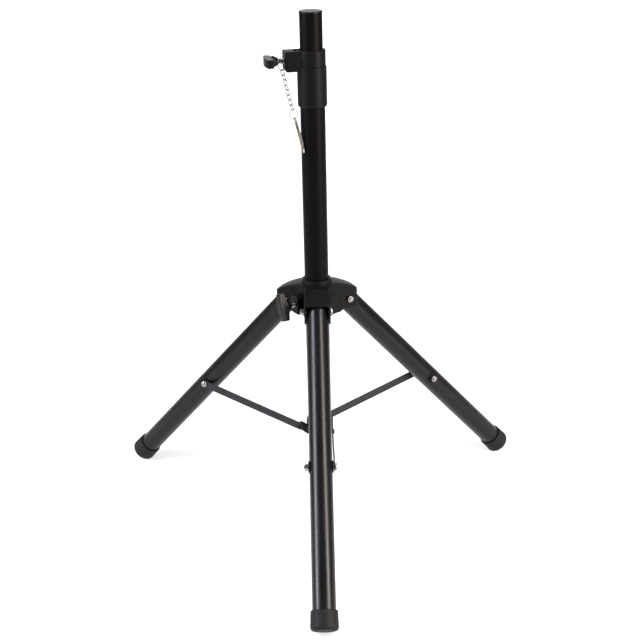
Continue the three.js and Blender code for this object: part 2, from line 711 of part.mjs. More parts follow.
function buildBrace(name, armFrame) {
  const brace = frameAt(armFrame, braceOuterRadius, 0, braceOuterHeight);
  brace.rotation.y = -braceDip;
  const half = braceWidth / 2;
  const outline = new THREE.Shape();
  outline.absarc(0, 0, half, -Math.PI / 2, Math.PI / 2);
  outline.absarc(-braceLength, 0, half, Math.PI / 2, (3 * Math.PI) / 2);
  outline.closePath();
  const outerHole = alongY(rod(braceBoltDiameter / 2 + gap, 0, 2 * legTubeDiameter, boltSides));
  const innerHole = alongY(rod(rivetDiameter / 2 + gap, 0, 2 * legTubeDiameter, boltSides))
    .translate(-braceLength, 0, 0);
  const bar = cut(upright(outline, braceInnerFace, braceOuterFace), outerHole, innerHole);
  piece("brace_bar_" + name, bar, powderCoat, brace);

  const rivet = domedBolt(
    rivetDiameter / 2, rivetHeadDiameter / 2, rivetHeadHeight, braceInnerFace, braceOuterFace + gap,
  ).translate(-braceLength, 0, 0);
  piece("brace_rivet_" + name, rivet, mouldedPlastic, brace);
}

function buildSpreader(parent) {
  const low = spreaderPivotHeight - spreaderHeight / 2;
  const high = spreaderPivotHeight + spreaderHeight / 2;
  const lugHalf = spreaderLugWidth / 2;
  const lugFace = braceInnerFace - gap;
  const lug = block(
    [0, spreaderPivotRadius + lugHalf], [lugFace - spreaderLugThickness, lugFace],
    [spreaderPivotHeight - lugHalf, spreaderPivotHeight + lugHalf],
  );
  const lugs = legNames.map((_, i) => facing(lug.clone(), firstLegAzimuth + i * legSpacing));
  const band = rod(mastRoomRadius + spreaderWall, low, high);
  const mastRoom = rod(mastRoomRadius, low - overcut, high + overcut);
  const screwHeight = high - collarScrewDrop;
  const screwRadius = collarScrewDiameter / 2;
  const holeEnd = spreaderPivotRadius + spreaderLugWidth;
  const screwHole = alongX(rod(screwRadius + gap, 0, holeEnd, smallSides)).translate(0, 0, screwHeight);
  const collar = cut(join(band, ...lugs), mastRoom, facing(screwHole, collarScrewAzimuth));
  piece("spreader_collar", collar, mouldedPlastic, parent);

  const seat = mastRoomRadius + spreaderWall + gap;
  const headTop = seat + collarScrewHeadHeight;
  const screw = alongX(turned([
    [0, mastRoomRadius], [screwRadius, mastRoomRadius], [screwRadius, seat], [collarScrewHead / 2, seat],
    [collarScrewHead / 2 - collarScrewEdge, headTop], [0, headTop],
  ], boltSides)).translate(0, 0, screwHeight);
  piece("collar_screw", facing(screw, collarScrewAzimuth), brightZinc, parent);
}

// ---------------------------------------------------------------- the stand

const stand = new THREE.Group();
const mast = frameAt(stand);
buildMast(mast);
buildPole(mast);
buildPoleClamp(mast);
buildChain(mast);
buildSpreader(mast);

const poleKnob = frameAt(mast, 0, 0, clampAxis);
poleKnob.rotation.z = radians(clampAzimuth);
buildKnob("pole_knob", poleKnob, poleRadius, clampBlockReach + poleKnobStandoff, poleKnobTurn);

const hub = frameAt(mast, 0, 0, pivotHeight);
buildHub(hub);
const hubKnob = frameAt(hub, 0, 0, hubScrewHeight);
hubKnob.rotation.z = radians(hubBossAzimuth);
buildKnob("hub_knob", hubKnob, mastRadius, hubBossReach + hubKnobStandoff, hubKnobTurn);

legNames.forEach((name, i) => {
  const azimuth = radians(firstLegAzimuth + i * legSpacing);
  const armFrame = frameAt(hub);
  armFrame.rotation.z = azimuth;
  buildLegPivot(name, armFrame);
  const legFrame = frameAt(mast);
  legFrame.rotation.z = azimuth;
  buildLeg(name, legFrame);
  buildBrace(name, legFrame);
});

// The origin moves from the mast's foot point to the centre of the footprint box.
stand.updateMatrixWorld(true);
const box = new THREE.Box3().setFromObject(stand, true);
mast.position.set(-(box.min.x + box.max.x) / 2, -(box.min.y + box.max.y) / 2, -box.min.z);

export default stand;
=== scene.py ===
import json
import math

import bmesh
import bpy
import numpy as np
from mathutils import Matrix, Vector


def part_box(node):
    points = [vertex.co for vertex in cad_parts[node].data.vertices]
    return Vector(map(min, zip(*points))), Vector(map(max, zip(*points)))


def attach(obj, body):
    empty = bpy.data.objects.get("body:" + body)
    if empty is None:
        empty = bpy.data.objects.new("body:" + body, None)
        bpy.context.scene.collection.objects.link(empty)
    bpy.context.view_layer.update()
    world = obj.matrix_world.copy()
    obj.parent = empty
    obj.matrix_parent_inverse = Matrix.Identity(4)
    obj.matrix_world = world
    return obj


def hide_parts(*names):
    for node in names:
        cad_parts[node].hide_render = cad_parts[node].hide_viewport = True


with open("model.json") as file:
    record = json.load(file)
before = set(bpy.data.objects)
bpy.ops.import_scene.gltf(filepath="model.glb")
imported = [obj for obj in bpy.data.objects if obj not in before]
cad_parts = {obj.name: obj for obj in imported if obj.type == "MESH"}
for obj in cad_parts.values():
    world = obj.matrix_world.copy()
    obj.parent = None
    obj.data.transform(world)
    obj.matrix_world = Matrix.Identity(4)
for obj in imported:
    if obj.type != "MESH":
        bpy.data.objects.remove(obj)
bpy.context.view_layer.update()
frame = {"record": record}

# %% [markdown]
# # A folding tripod stand for a loudspeaker
#
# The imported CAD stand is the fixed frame: it says how big every piece is, where it sits and what
# it moves with. This lesson gives each piece its finished surface. A piece is one formula on a
# grid of numbers, worked out with numpy in millimetres, and handed to Blender as a mesh that
# stands for the plain CAD node and rides on the same body. Places come from the frame's boxes and
# joints, so nothing has to be fitted by eye.

MM = 0.001
UP = np.array([0.0, 0.0, 1.0])
LEGS = ["front", "right", "left"]
record = frame["record"]
joints = {joint["name"]: joint for joint in record["behaviour"]["joints"]}
body_of = {node: body for body, nodes in record["behaviour"]["bodies"].items() for node in nodes}


def corners(low_high):
    """The lowest and highest corner of a box, in metres."""
    return [[float(x) for x in corner] for corner in low_high]


def span(node):
    """The lowest and highest corner of a CAD node, in millimetres."""
    return np.array(corners(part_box(node))) / MM


def centre(node):
    """The middle of a CAD node's box, in millimetres."""
    return span(node).mean(0)


def pivot(joint):
    """A joint's place, in millimetres."""
    return np.array(joints[joint]["pos_m"]) / MM


mast_low, mast_high = span("mast_tube")
mast_foot = np.array([*(mast_low + mast_high)[:2] / 2, 0])
print(len(body_of), "nodes on", len(set(body_of.values())), "bodies; mast at", mast_foot[:2], "mm")

# %% [markdown]
# ## The camera
#
# The camera comes first, because every later choice is judged through it. It stands nearly two
# metres in front of the mast, higher than the stand, and looks down at it through a short
# telephoto lens, rolled by a little over a degree as a hand-set tripod often is. A placement
# matrix is built from the axes that it should have, which is easier to check than three angles.

# %% Set up the camera
CAMERA_DISTANCE = 1.943
CAMERA_HEIGHT = 1.1375
CAMERA_PITCH = math.radians(22.16)
CAMERA_ROLL = math.radians(1.32)
CAMERA_LENS = 71.97
CAMERA_SHIFT = 0.0038
CLIP_NEAR, CLIP_FAR = 0.05, 50


def camera_axes(pitch, roll):
    """Right and back: level axes tipped down by the pitch, then turned by the roll."""
    level_up = np.array([0, math.sin(pitch), math.cos(pitch)])
    right = math.cos(roll) * np.array([1, 0, 0]) - math.sin(roll) * level_up
    return right, np.array([0, -math.cos(pitch), math.sin(pitch)])


def place(origin, x_axis, z_axis):
    """A 4 x 4 placement: Z as given, X the part of x_axis square to Z, and Y = Z x X."""
    z = np.array(z_axis, float) / np.linalg.norm(z_axis)
    x = np.array(x_axis, float) - np.dot(x_axis, z) * z
    x = x / np.linalg.norm(x)
    matrix = np.eye(4)
    matrix[:3] = np.stack([x, np.cross(z, x), z, origin], -1)
    return matrix


camera_data = bpy.data.cameras.new("camera")
camera_data.lens = CAMERA_LENS
camera_data.shift_x = CAMERA_SHIFT
camera_data.clip_start = CLIP_NEAR
camera_data.clip_end = CLIP_FAR
camera = bpy.data.objects.new("camera", camera_data)
bpy.context.scene.collection.objects.link(camera)
camera_right, camera_back = camera_axes(CAMERA_PITCH, CAMERA_ROLL)
stand_point = [mast_foot[0] * MM, mast_foot[1] * MM - CAMERA_DISTANCE, CAMERA_HEIGHT]
camera.matrix_world = Matrix(place(stand_point, camera_right, camera_back))
bpy.context.scene.camera = camera
print("camera at", [round(x, 3) for x in stand_point], "m")

# %% [markdown]
# ## From a grid to a mesh
#
# Every shape here is a grid: rows of points, each row the same number of columns. A tube is rows
# of circles, a wire is circles along a path, a moulding is outlines stacked and drawn in. The
# same could be modelled by hand with extrude and spin, but a grid has its sizes written down.
# Points that coincide, at a pole or a seam, are merged afterwards, so the surface closes by
# itself, and Blender then turns all faces outwards.

# %% Grids and meshes
MERGE = 0.0008 * MM


def grid_faces(rows, columns, close_rows=False, close_columns=True):
    """Quads between point (r, c) and its neighbours (r + 1, c), (r + 1, c + 1), (r, c + 1)."""
    r, c = np.meshgrid(
        np.arange(rows if close_rows else rows - 1),
        np.arange(columns if close_columns else columns - 1), indexing="ij")
    below, beside = (r + 1) % rows, (c + 1) % columns
    quads = [r * columns + c, below * columns + c, below * columns + beside, r * columns + beside]
    return np.stack(quads, -1).reshape(-1, 4)


def at(placement, grid):
    """The grid's points p moved to R p + t."""
    return grid @ placement[:3, :3].T + placement[:3, 3]


def shown(name, mesh):
    """A mesh as an object in the scene."""
    made = bpy.data.objects.new(name, mesh)
    bpy.context.scene.collection.objects.link(made)
    return made


def solid(name, placement, grid):
    """One object from a closed grid in millimetres, placed in the stand, merged at its seams and
    poles, and facing outwards."""
    points = at(placement, grid).reshape(-1, 3) * MM
    mesh = bpy.data.meshes.new(name)
    mesh.from_pydata(points.tolist(), [], grid_faces(*grid.shape[:2]).tolist())
    work = bmesh.new()
    work.from_mesh(mesh)
    bmesh.ops.remove_doubles(work, verts=work.verts, dist=MERGE)
    bmesh.ops.dissolve_degenerate(work, edges=work.edges, dist=MERGE)
    bmesh.ops.recalc_face_normals(work, faces=work.faces)
    work.to_mesh(mesh)
    work.free()
    return shown(name, mesh)


print("a grid of 3 x 4 points has", len(grid_faces(3, 4)), "faces as a ring")

# %% [markdown]
# ## Joining, cutting and shading
#
# A block on a sleeve, or a bolt hole through a tube, is where one formula would get clumsy.
# Blender's Boolean modifier joins or cuts closed meshes exactly, and its Manifold solver keeps the
# result closed. The modifiers are worked into the mesh at once, so that the piece is finished
# geometry. Corners sharper than the crease angle stay crisp, and normals weighted by face area
# keep flat faces flat next to their rounded edges.

# %% Joining, cutting and shading
CREASE = math.radians(38)


def applied(made):
    """The object with its modifiers worked into its mesh."""
    evaluated = made.evaluated_get(bpy.context.evaluated_depsgraph_get())
    mesh = bpy.data.meshes.new_from_object(evaluated)
    made.modifiers.clear()
    made.data = mesh
    return made


def combined(whole, operation, *tools):
    """Joins tools to the whole (UNION) or cuts them out of it (DIFFERENCE)."""
    for tool in tools:
        step = whole.modifiers.new(operation.lower(), "BOOLEAN")
        step.operation = operation
        step.solver = "MANIFOLD"
        step.object = tool
    applied(whole)
    for tool in tools:
        bpy.data.objects.remove(tool)
    return whole


def shaded(made):
    """Smooth shading that keeps creases, with normals weighted by face area."""
    mesh = made.data
    mesh.polygons.foreach_set("use_smooth", np.ones(len(mesh.polygons), bool))
    mesh.set_sharp_from_angle(angle=CREASE)
    weighted = made.modifiers.new("normals", "WEIGHTED_NORMAL")
    weighted.keep_sharp = True
    return applied(made)


def present(node, made, material):
    """The made object stands for a CAD node: it rides on the node's body and hides the node."""
    shaded(made)
    made.name = made.data.name = "fine_" + node
    made.data.materials.clear()
    made.data.materials.append(material)
    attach(made, body_of[node])
    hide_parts(node)
    print("made", node, "with", len(made.data.polygons), "faces in", material.name)


def piece(node, placement, grid, material):
    """A finished piece straight from one grid."""
    present(node, solid("piece", placement, grid), material)


print("edges over", round(math.degrees(CREASE)), "degrees stay sharp")

# %% [markdown]
# ## Helpers for finishes
#
# A finish could be painted on, but a node pattern on Object coordinates needs no image and keeps
# its scale on every piece. One small function adds a node with its settings and links, and another
# takes colours as sRGB hex values and turns them into the linear values that the shader wants.
# Every pattern's scale comes from a real size in millimetres; Object coordinates are metres here.

# %% Helpers for finishes
NOISE_LOW, NOISE_HIGH = 0.3, 0.7  # nearly all of a noise's values lie between these


def linear(hex_colour):
    """sRGB hex to linear: c / 12.92 below 0.04045, else ((c + 0.055) / 1.055) ** 2.4."""
    channels = [int(hex_colour[i:i + 2], 16) / 255 for i in (1, 3, 5)]
    return [c / 12.92 if c <= 0.04045 else ((c + 0.055) / 1.055) ** 2.4 for c in channels] + [1]


def add(tree, kind, settings=None, **inputs):
    """A node of a kind with its settings. Each input is named, or i and its number, and is given
    as a value or as (node, output)."""
    node = tree.nodes.new(kind)
    for key, value in (settings or {}).items():
        setattr(node, key, value)
    for key, value in inputs.items():
        numbered = key[0] == "i" and key[1:].isdigit()
        socket = node.inputs[int(key[1:]) if numbered else key.replace("_", " ")]
        if isinstance(value, tuple) and isinstance(value[0], bpy.types.Node):
            tree.links.new(value[0].outputs[value[1]], socket)
        else:
            socket.default_value = value
    return node


def new_finish(name):
    """An empty node material, its tree, and the Object coordinates that its patterns read."""
    material = bpy.data.materials.new(name)
    material.use_nodes = True
    tree = material.node_tree
    tree.nodes.clear()
    return material, tree, (add(tree, "ShaderNodeTexCoord"), "Object")


def per_metre(size_mm):
    """Noise scale for features of a size in millimetres."""
    return 1 / (size_mm * MM)


print("mid grey #808080 is", round(linear("#808080")[0], 3), "linear")

# %% [markdown]
# ## Powder coat
#
# The tubes and the brace bars are steel with a black polyester powder coat. The powder melts into
# a skin with a faint orange peel, ripples two millimetres or so across, which softens the edge of
# a reflection. A plain dark colour would look like paper: it is the ripple, and gloss that drifts
# slowly along the tube, that read as a sprayed and baked skin.

# %% Make the powder coats
PEEL, SPECK, CLOUD = 2.2, 0.5, 60  # orange peel, powder grain and drift of the gloss, in mm
SPECK_SHARE = 0.3
PEEL_HEIGHT, PEEL_STRENGTH = 0.15, 0.018
COAT_IOR = 1.5


def powder_coat(name, colour, lighter, roughness, shine):
    """Dielectric black with a two-scale ripple, and gloss and tint that drift along the tube."""
    material, tree, place_in = new_finish(name)
    ripple = add(tree, "ShaderNodeTexNoise", Vector=place_in, Scale=per_metre(PEEL),
                 Detail=2.0, Roughness=0.45)
    speck = add(tree, "ShaderNodeTexNoise", Vector=place_in, Scale=per_metre(SPECK), Detail=1.0)
    cloud = add(tree, "ShaderNodeTexNoise", Vector=place_in, Scale=per_metre(CLOUD), Detail=3.0)
    tint = add(tree, "ShaderNodeMix", {"data_type": "RGBA"}, i0=(cloud, "Fac"),
               i6=linear(colour), i7=linear(lighter))
    gloss = add(tree, "ShaderNodeMapRange", Value=(cloud, "Fac"), From_Min=NOISE_LOW,
                From_Max=NOISE_HIGH, To_Min=roughness - 0.03, To_Max=roughness + 0.04)
    height = add(tree, "ShaderNodeMath", {"operation": "MULTIPLY_ADD"}, i0=(speck, "Fac"),
                 i1=SPECK_SHARE, i2=(ripple, "Fac"))
    bump = add(tree, "ShaderNodeBump", Strength=PEEL_STRENGTH, Distance=PEEL_HEIGHT * MM,
               Height=(height, 0))
    skin = add(tree, "ShaderNodeBsdfPrincipled", Base_Color=(tint, 2), Roughness=(gloss, 0),
               Normal=(bump, 0), IOR=COAT_IOR, Specular_IOR_Level=shine)
    add(tree, "ShaderNodeOutputMaterial", Surface=(skin, 0))
    return material


# The legs: the glossiest coat, a deep black with a pair of soft bright streaks.
leg_coat = powder_coat("semi_gloss_powder_coat", "#08080a", "#0c0c0f", roughness=0.29, shine=0.28)
# Mast and pole: a satin coat that swallows nearly all light, so only faint streaks are left.
mast_coat = powder_coat("satin_powder_coat", "#080707", "#0c0b0b", roughness=0.42, shine=0.06)
# Brace bars: a matt coat that reads as dark grey, without streaks.
bar_coat = powder_coat("matt_powder_coat", "#1f1f22", "#28282b", roughness=0.45, shine=0.26)
print("coats:", leg_coat.name, mast_coat.name, bar_coat.name)

# %% [markdown]
# ## Moulded plastics and rubber
#
# The clamp, the hub and the handles are glass-filled nylon from a spark-eroded mould: a matt
# grain of about half a millimetre that scatters light evenly. The feet are soft PVC rubber,
# rougher and a little paler, and the slide bush and screw shoes are off-white acetal. One function
# with a grain size, a colour pair and a roughness serves all of them, because they differ only in
# those. The grain is a bump, since a grain in real geometry would take millions of faces.

# %% Make the plastics and the rubber
FLOW = 18  # clouds of colour where the melt flowed, in mm
GRAIN_STRENGTH = 0.5


def moulded(name, colour, lighter, roughness, grain_mm, grain_depth, shine):
    """A dielectric with a mould grain, and slow changes of colour where the melt flowed."""
    material, tree, place_in = new_finish(name)
    grain = add(tree, "ShaderNodeTexNoise", Vector=place_in, Scale=per_metre(grain_mm),
                Detail=2.0, Roughness=0.6)
    flow = add(tree, "ShaderNodeTexNoise", Vector=place_in, Scale=per_metre(FLOW),
               Detail=3.0, Distortion=0.6)
    tint = add(tree, "ShaderNodeMix", {"data_type": "RGBA"}, i0=(flow, "Fac"),
               i6=linear(colour), i7=linear(lighter))
    gloss = add(tree, "ShaderNodeMapRange", Value=(grain, "Fac"), From_Min=NOISE_LOW,
                From_Max=NOISE_HIGH, To_Min=roughness - 0.06, To_Max=roughness + 0.06)
    bump = add(tree, "ShaderNodeBump", Strength=GRAIN_STRENGTH, Distance=grain_depth * MM,
               Height=(grain, "Fac"))
    skin = add(tree, "ShaderNodeBsdfPrincipled", Base_Color=(tint, 2), Roughness=(gloss, 0),
               Normal=(bump, 0), IOR=COAT_IOR, Specular_IOR_Level=shine)
    add(tree, "ShaderNodeOutputMaterial", Surface=(skin, 0))
    return material


# Clamp, hub, collar, plugs and saddle washers: black with an even, dusty grain and soft
# highlights on its edges.
nylon = moulded("grained_black_nylon", "#09090a", "#0e0e0f", roughness=0.48,
                grain_mm=0.45, grain_depth=0.05, shine=0.12)
# Knobs, cap and rivets: from a polished mould, smoother to the eye, with clearer facets.
smooth_nylon = moulded("smooth_black_nylon", "#0c0c0d", "#121213", roughness=0.36,
                       grain_mm=0.8, grain_depth=0.015, shine=0.14)
# Feet: dull and slightly grey, as rubber that has rubbed on floors.
rubber = moulded("dark_grey_pvc_rubber", "#111112", "#19191a", roughness=0.6,
                 grain_mm=0.7, grain_depth=0.08, shine=0.2)
# Bush and shoes: warm off-white with a waxy sheen, hidden inside the hub and the clamps.
acetal = moulded("off_white_acetal", "#cfccc0", "#dedbd0", roughness=0.45,
                 grain_mm=0.9, grain_depth=0.02, shine=0.5)
print("mouldings:", nylon.name, smooth_nylon.name, rubber.name, acetal.name)

# %% [markdown]
# ## Plated steel
#
# Screws, bolts and nuts are bright zinc on steel, the chain and its ring dull nickel, and the pin
# nickel that was tumbled with stones. A metal has no colour of its own apart from its reflections,
# so the tint multiplies what it mirrors. Patches of warmer, duller skin keep it from looking like
# chrome, and a rough skin shows a wire grey against a white sheet, where a mirror would vanish.

# %% Make the plated metals
PATCH, SCRATCH = 5, 0.7  # patches of passivated skin and marks of handling, in mm
SCRATCH_DEPTH, SCRATCH_STRENGTH = 0.04, 0.25


def plated(name, colour, warmer, roughness):
    """A metal whose passivated skin is warmer and duller in patches."""
    material, tree, place_in = new_finish(name)
    patch = add(tree, "ShaderNodeTexNoise", Vector=place_in, Scale=per_metre(PATCH),
                Detail=3.0, Roughness=0.6)
    marks = add(tree, "ShaderNodeTexNoise", Vector=place_in, Scale=per_metre(SCRATCH), Detail=1.0)
    share = add(tree, "ShaderNodeMapRange", Value=(patch, "Fac"), From_Min=0.4, From_Max=0.7)
    tint = add(tree, "ShaderNodeMix", {"data_type": "RGBA"}, i0=(share, 0),
               i6=linear(colour), i7=linear(warmer))
    gloss = add(tree, "ShaderNodeMapRange", Value=(patch, "Fac"), From_Min=NOISE_LOW,
                From_Max=NOISE_HIGH, To_Min=roughness - 0.05, To_Max=roughness + 0.08)
    bump = add(tree, "ShaderNodeBump", Strength=SCRATCH_STRENGTH, Distance=SCRATCH_DEPTH * MM,
               Height=(marks, "Fac"))
    skin = add(tree, "ShaderNodeBsdfPrincipled", Base_Color=(tint, 2), Roughness=(gloss, 0),
               Normal=(bump, 0), Metallic=1.0)
    add(tree, "ShaderNodeOutputMaterial", Surface=(skin, 0))
    return material


# Screws, bolts and nuts: small bright glints with dark gaps between them.
zinc = plated("bright_zinc_plate", "#acadb1", "#93867a", roughness=0.22)
# Chain, ring and spring wire: an even mid grey line.
chain_plate = plated("dull_nickel_plate", "#86868a", "#756f67", roughness=0.42)
# Pin: a soft warm silver with one blurred highlight along it.
pin_plate = plated("tumbled_nickel_plate", "#b3a99c", "#948777", roughness=0.36)
print("metals:", zinc.name, chain_plate.name, pin_plate.name)

# %% [markdown]
# ## Corners with a radius
#
# The shapes of a stand are few: things turned on an axis, flat outlines with a thickness, and
# wires bent along a path. Every real moulding, turning and stamping has a radius on its edges, and
# that radius is what catches a line of light. A bevel afterwards would give one radius to all of
# them; here each corner of a profile names its own.

# %% Round corners
SIDES = 96


def unit(vector):
    """v / |v|, along the last axis."""
    return vector / np.linalg.norm(vector, axis=-1, keepdims=True)


def rounded(bends, closed=False, steps=6):
    """Bends (x, y, radius) to points: each radius r becomes an arc that touches both sides,
    centred r / sin(a / 2) up the bisector of the corner's angle a."""
    points = []
    count = len(bends)
    for i, (x, y, radius) in enumerate(bends):
        here = np.array([x, y], float)
        if radius == 0 or (not closed and i in (0, count - 1)):
            points.append(here[None])
            continue
        before = unit(np.array(bends[i - 1][:2], float) - here)
        after = unit(np.array(bends[(i + 1) % count][:2], float) - here)
        angle = np.arccos(np.clip(before @ after, -1, 1))
        middle = here + unit(before + after) * radius / np.sin(angle / 2)
        first = here + before * radius / np.tan(angle / 2) - middle
        last = here + after * radius / np.tan(angle / 2) - middle
        bend = np.pi - angle
        part = np.linspace(0, 1, steps + 1)[:, None]
        arc = (np.sin((1 - part) * bend) * first + np.sin(part * bend) * last) / np.sin(bend)
        points.append(middle + arc)
    return np.concatenate(points)


print("a rounded corner has", len(rounded([(0, 0, 0), (9, 0, 2), (9, 9, 0)])) - 2, "points")

# %% [markdown]
# ## Turnings and slabs
#
# A turning is a profile spun on Z, and a slab is an outline drawn along Z and rolled in at both
# rims; moulded blocks are slabs laid on their side. Each ends in a pole at the middle of its end
# faces, so that there are no faces of many corners for a Boolean to split its own way.

# %% Turn and extrude


def circle(count):
    """Angles round a full turn, without the repeated last one."""
    return np.arange(count) * 2 * np.pi / count


def spun(radius, height, angle):
    """Radii and heights over angles: (r cos a, r sin a, h)."""
    return np.stack([radius * np.cos(angle), radius * np.sin(angle), height + 0 * angle], -1)


def turned(profile, sides=SIDES):
    """A profile of (radius, height) turned about Z."""
    profile = np.asarray(profile, float)
    return spun(profile[:, :1], profile[:, 1:2], circle(sides))


def tube(inner, outer, low, high, edge=0.4):
    """A pipe on Z with its end edges rounded, as a closed profile that is turned."""
    profile = rounded([(inner, low, edge), (outer, low, edge), (outer, high, edge),
                       (inner, high, edge)], closed=True, steps=3)
    return turned(np.concatenate([profile, profile[:1]]))


def rod(radius, low, high, sides=SIDES):
    """A plain cylinder on Z, closed at its two poles."""
    return turned([(0, low), (radius, low), (radius, high), (0, high)], sides)


def along_x(grid):
    """Z turned to X: (x, y, z) to (z, y, -x)."""
    return np.stack([grid[..., 2], grid[..., 1], -grid[..., 0]], -1)


def on_edge(grid):
    """A slab stood on its edge: (x, y, z) to (x, -z, y)."""
    return np.stack([grid[..., 0], -grid[..., 2], grid[..., 1]], -1)


def inset(outline, distance):
    """Each point of a closed outline moved inwards, square to its neighbours' chord."""
    chord = unit(np.roll(outline, -1, 0) - np.roll(outline, 1, 0))
    return outline + distance * np.stack([-chord[:, 1], chord[:, 0]], -1)


def slab(outline, low, high, edge=0.5, steps=4):
    """An anticlockwise outline in X and Y, given a thickness along Z and rounded at both rims:
    inset e (1 - sin a), height e (1 - cos a) for a from 0 to 90 degrees."""
    roll = np.linspace(0, np.pi / 2, steps + 1)
    lift = edge * (1 - np.cos(roll))
    rims = np.stack([inset(outline, distance) for distance in edge * (1 - np.sin(roll))])
    middle = np.broadcast_to(outline.mean(0), outline.shape)[None]
    rows = np.concatenate([middle, rims, rims[::-1], middle])
    heights = np.concatenate([[low], low + lift, (high - lift)[::-1], [high]])
    level = np.broadcast_to(heights[:, None, None], rows.shape[:2] + (1,))
    return np.concatenate([rows, level], -1)


def box_grid(x, y, z):
    """A plain box as a slab without rounding, for cutting tools."""
    outline = np.array([(x[0], y[0]), (x[1], y[0]), (x[1], y[1]), (x[0], y[1])], float)
    return slab(outline, z[0], z[1], edge=0, steps=1)[[0, 1, 3, 5]]


print("a rod is a grid of", rod(4, 0, 10).shape[:2], "and a box of", box_grid(*[(0, 1)] * 3).shape[:2])

# %% [markdown]
# ## Wires
#
# Chain, ring and spring are drawn wire, so each is a path and one radius. A curve object with a
# round bevel would do the same, but a grid joins with the turned pin without a conversion. Open
# ends close as half balls, as the cropped and tumbled ends of a wire do.

# %% Bend wires
BALL_STEPS = 4
ACROSS = (0, 1, 0)  # every path here lies near the plane of X and Z


def wire(path, radius, closed, sides=14):
    """A round wire: circles of cos b n + sin b m, with m across the path's plane and n = m x t.
    An open wire ends in half balls, whose circles shrink as cos a while they run on by sin a."""
    if closed:
        along = unit(np.roll(path, -1, 0) - np.roll(path, 1, 0))
        sizes = np.full(len(path), radius)
    else:
        along = unit(np.gradient(path, axis=0))
        ball = np.linspace(0, np.pi / 2, BALL_STEPS + 1)[1:]
        start = path[0] - along[0] * radius * np.sin(ball[::-1])[:, None]
        end = path[-1] + along[-1] * radius * np.sin(ball)[:, None]
        sizes = radius * np.concatenate([np.cos(ball)[::-1], np.ones(len(path)), np.cos(ball)])
        along = np.concatenate([np.repeat(along[:1], BALL_STEPS, 0), along,
                                np.repeat(along[-1:], BALL_STEPS, 0)])
        path = np.concatenate([start, path, end])
    normal = unit(np.cross(ACROSS, along))
    binormal = np.cross(along, normal)
    angle = circle(sides)[None, :, None]
    ring = np.cos(angle) * normal[:, None] + np.sin(angle) * binormal[:, None]
    grid = path[:, None] + sizes[:, None, None] * ring
    return np.concatenate([grid, grid[:1]]) if closed else grid


def oval_loop(length, width, radius, steps=64):
    """The middle line of a link in X and Z: a half circle, a straight, and the same again."""
    angle = circle(steps)
    middle = width / 2 - radius
    stretch = (length - width) / 2
    height = middle * np.sin(angle)
    return np.stack([middle * np.cos(angle), 0 * angle, height + np.sign(height) * stretch], -1)


print("a link is a grid of", wire(oval_loop(10, 7, 1), 1, True).shape[:2])

# %% [markdown]
# ## Screws, nuts and heads
#
# A rolled thread is a helix: the radius falls and rises once per pitch, and the groove turns once
# round for each pitch that it climbs. A nut is a hexagon whose corners are cut by a 30 degree
# cone, and a button head is a low dome with a hexagon socket sunk in its middle. A bump could
# draw the thread, but its outline against a white sheet would stay straight.

# %% Threads, nuts and button heads
PITCH, THREAD_DEPTH = 1.25, 0.62
THREAD_SIDES, ROWS_PER_PITCH = 40, 6
NUT_SIDES, CHAMFER = 72, 0.4
CONE_START, CONE_SLOPE = 0.96, 1.73  # the nut's corner cone: share of the flats, and tan 60
KEY_SHARE, DOME_SHARE = 0.36, 1.35  # socket over head radius, and the dome's flat over the socket
HEAD_RIM = 0.6


def threaded(radius, low, high):
    """r = R - d |2 f - 1|, where f is the fraction of height / pitch - angle / 360."""
    rows = int((high - low) / PITCH * ROWS_PER_PITCH)
    height = np.linspace(low, high, rows)[:, None]
    angle = circle(THREAD_SIDES)[None]
    fraction = (height / PITCH - angle / (2 * np.pi)) % 1
    lead = radius - THREAD_DEPTH + np.minimum(height - low, high - height)
    size = np.minimum(radius - THREAD_DEPTH * np.abs(2 * fraction - 1), lead)
    grid = spun(size, height, angle)
    poles = grid[[0, -1]] * [0, 0, 1]
    return np.concatenate([poles[:1], grid, poles[1:]])


def hexagon_radius(flats, angle):
    """Distance to a hexagon's side: half the flats / cos(angle from that side's middle)."""
    return flats / 2 / np.cos((angle + np.pi / 6) % (np.pi / 3) - np.pi / 6)


def hex_nut(flats, hole, low, high):
    """The lesser of a hexagon and a cone that grows 1.73 mm for each mm from the nut's faces."""
    angle = circle(NUT_SIDES)[None]
    depth = np.array([0, 0.12, 0.25, 0.4, 0.6, 0.9, 1.3])
    heights = np.concatenate([low + depth, (high - depth)[::-1]])[:, None]
    cone = flats / 2 * CONE_START + CONE_SLOPE * np.minimum(heights - low, high - heights)
    size = np.minimum(hexagon_radius(flats, angle), cone)
    bore = np.array([hole, hole, hole + CHAMFER])[:, None] + 0 * angle
    middle = [(low + high) / 2]
    level = np.concatenate([middle, [low + CHAMFER], [low], heights[:, 0], [high],
                            [high - CHAMFER], middle])
    return spun(np.concatenate([bore, size, bore[::-1]]), level[:, None], angle)


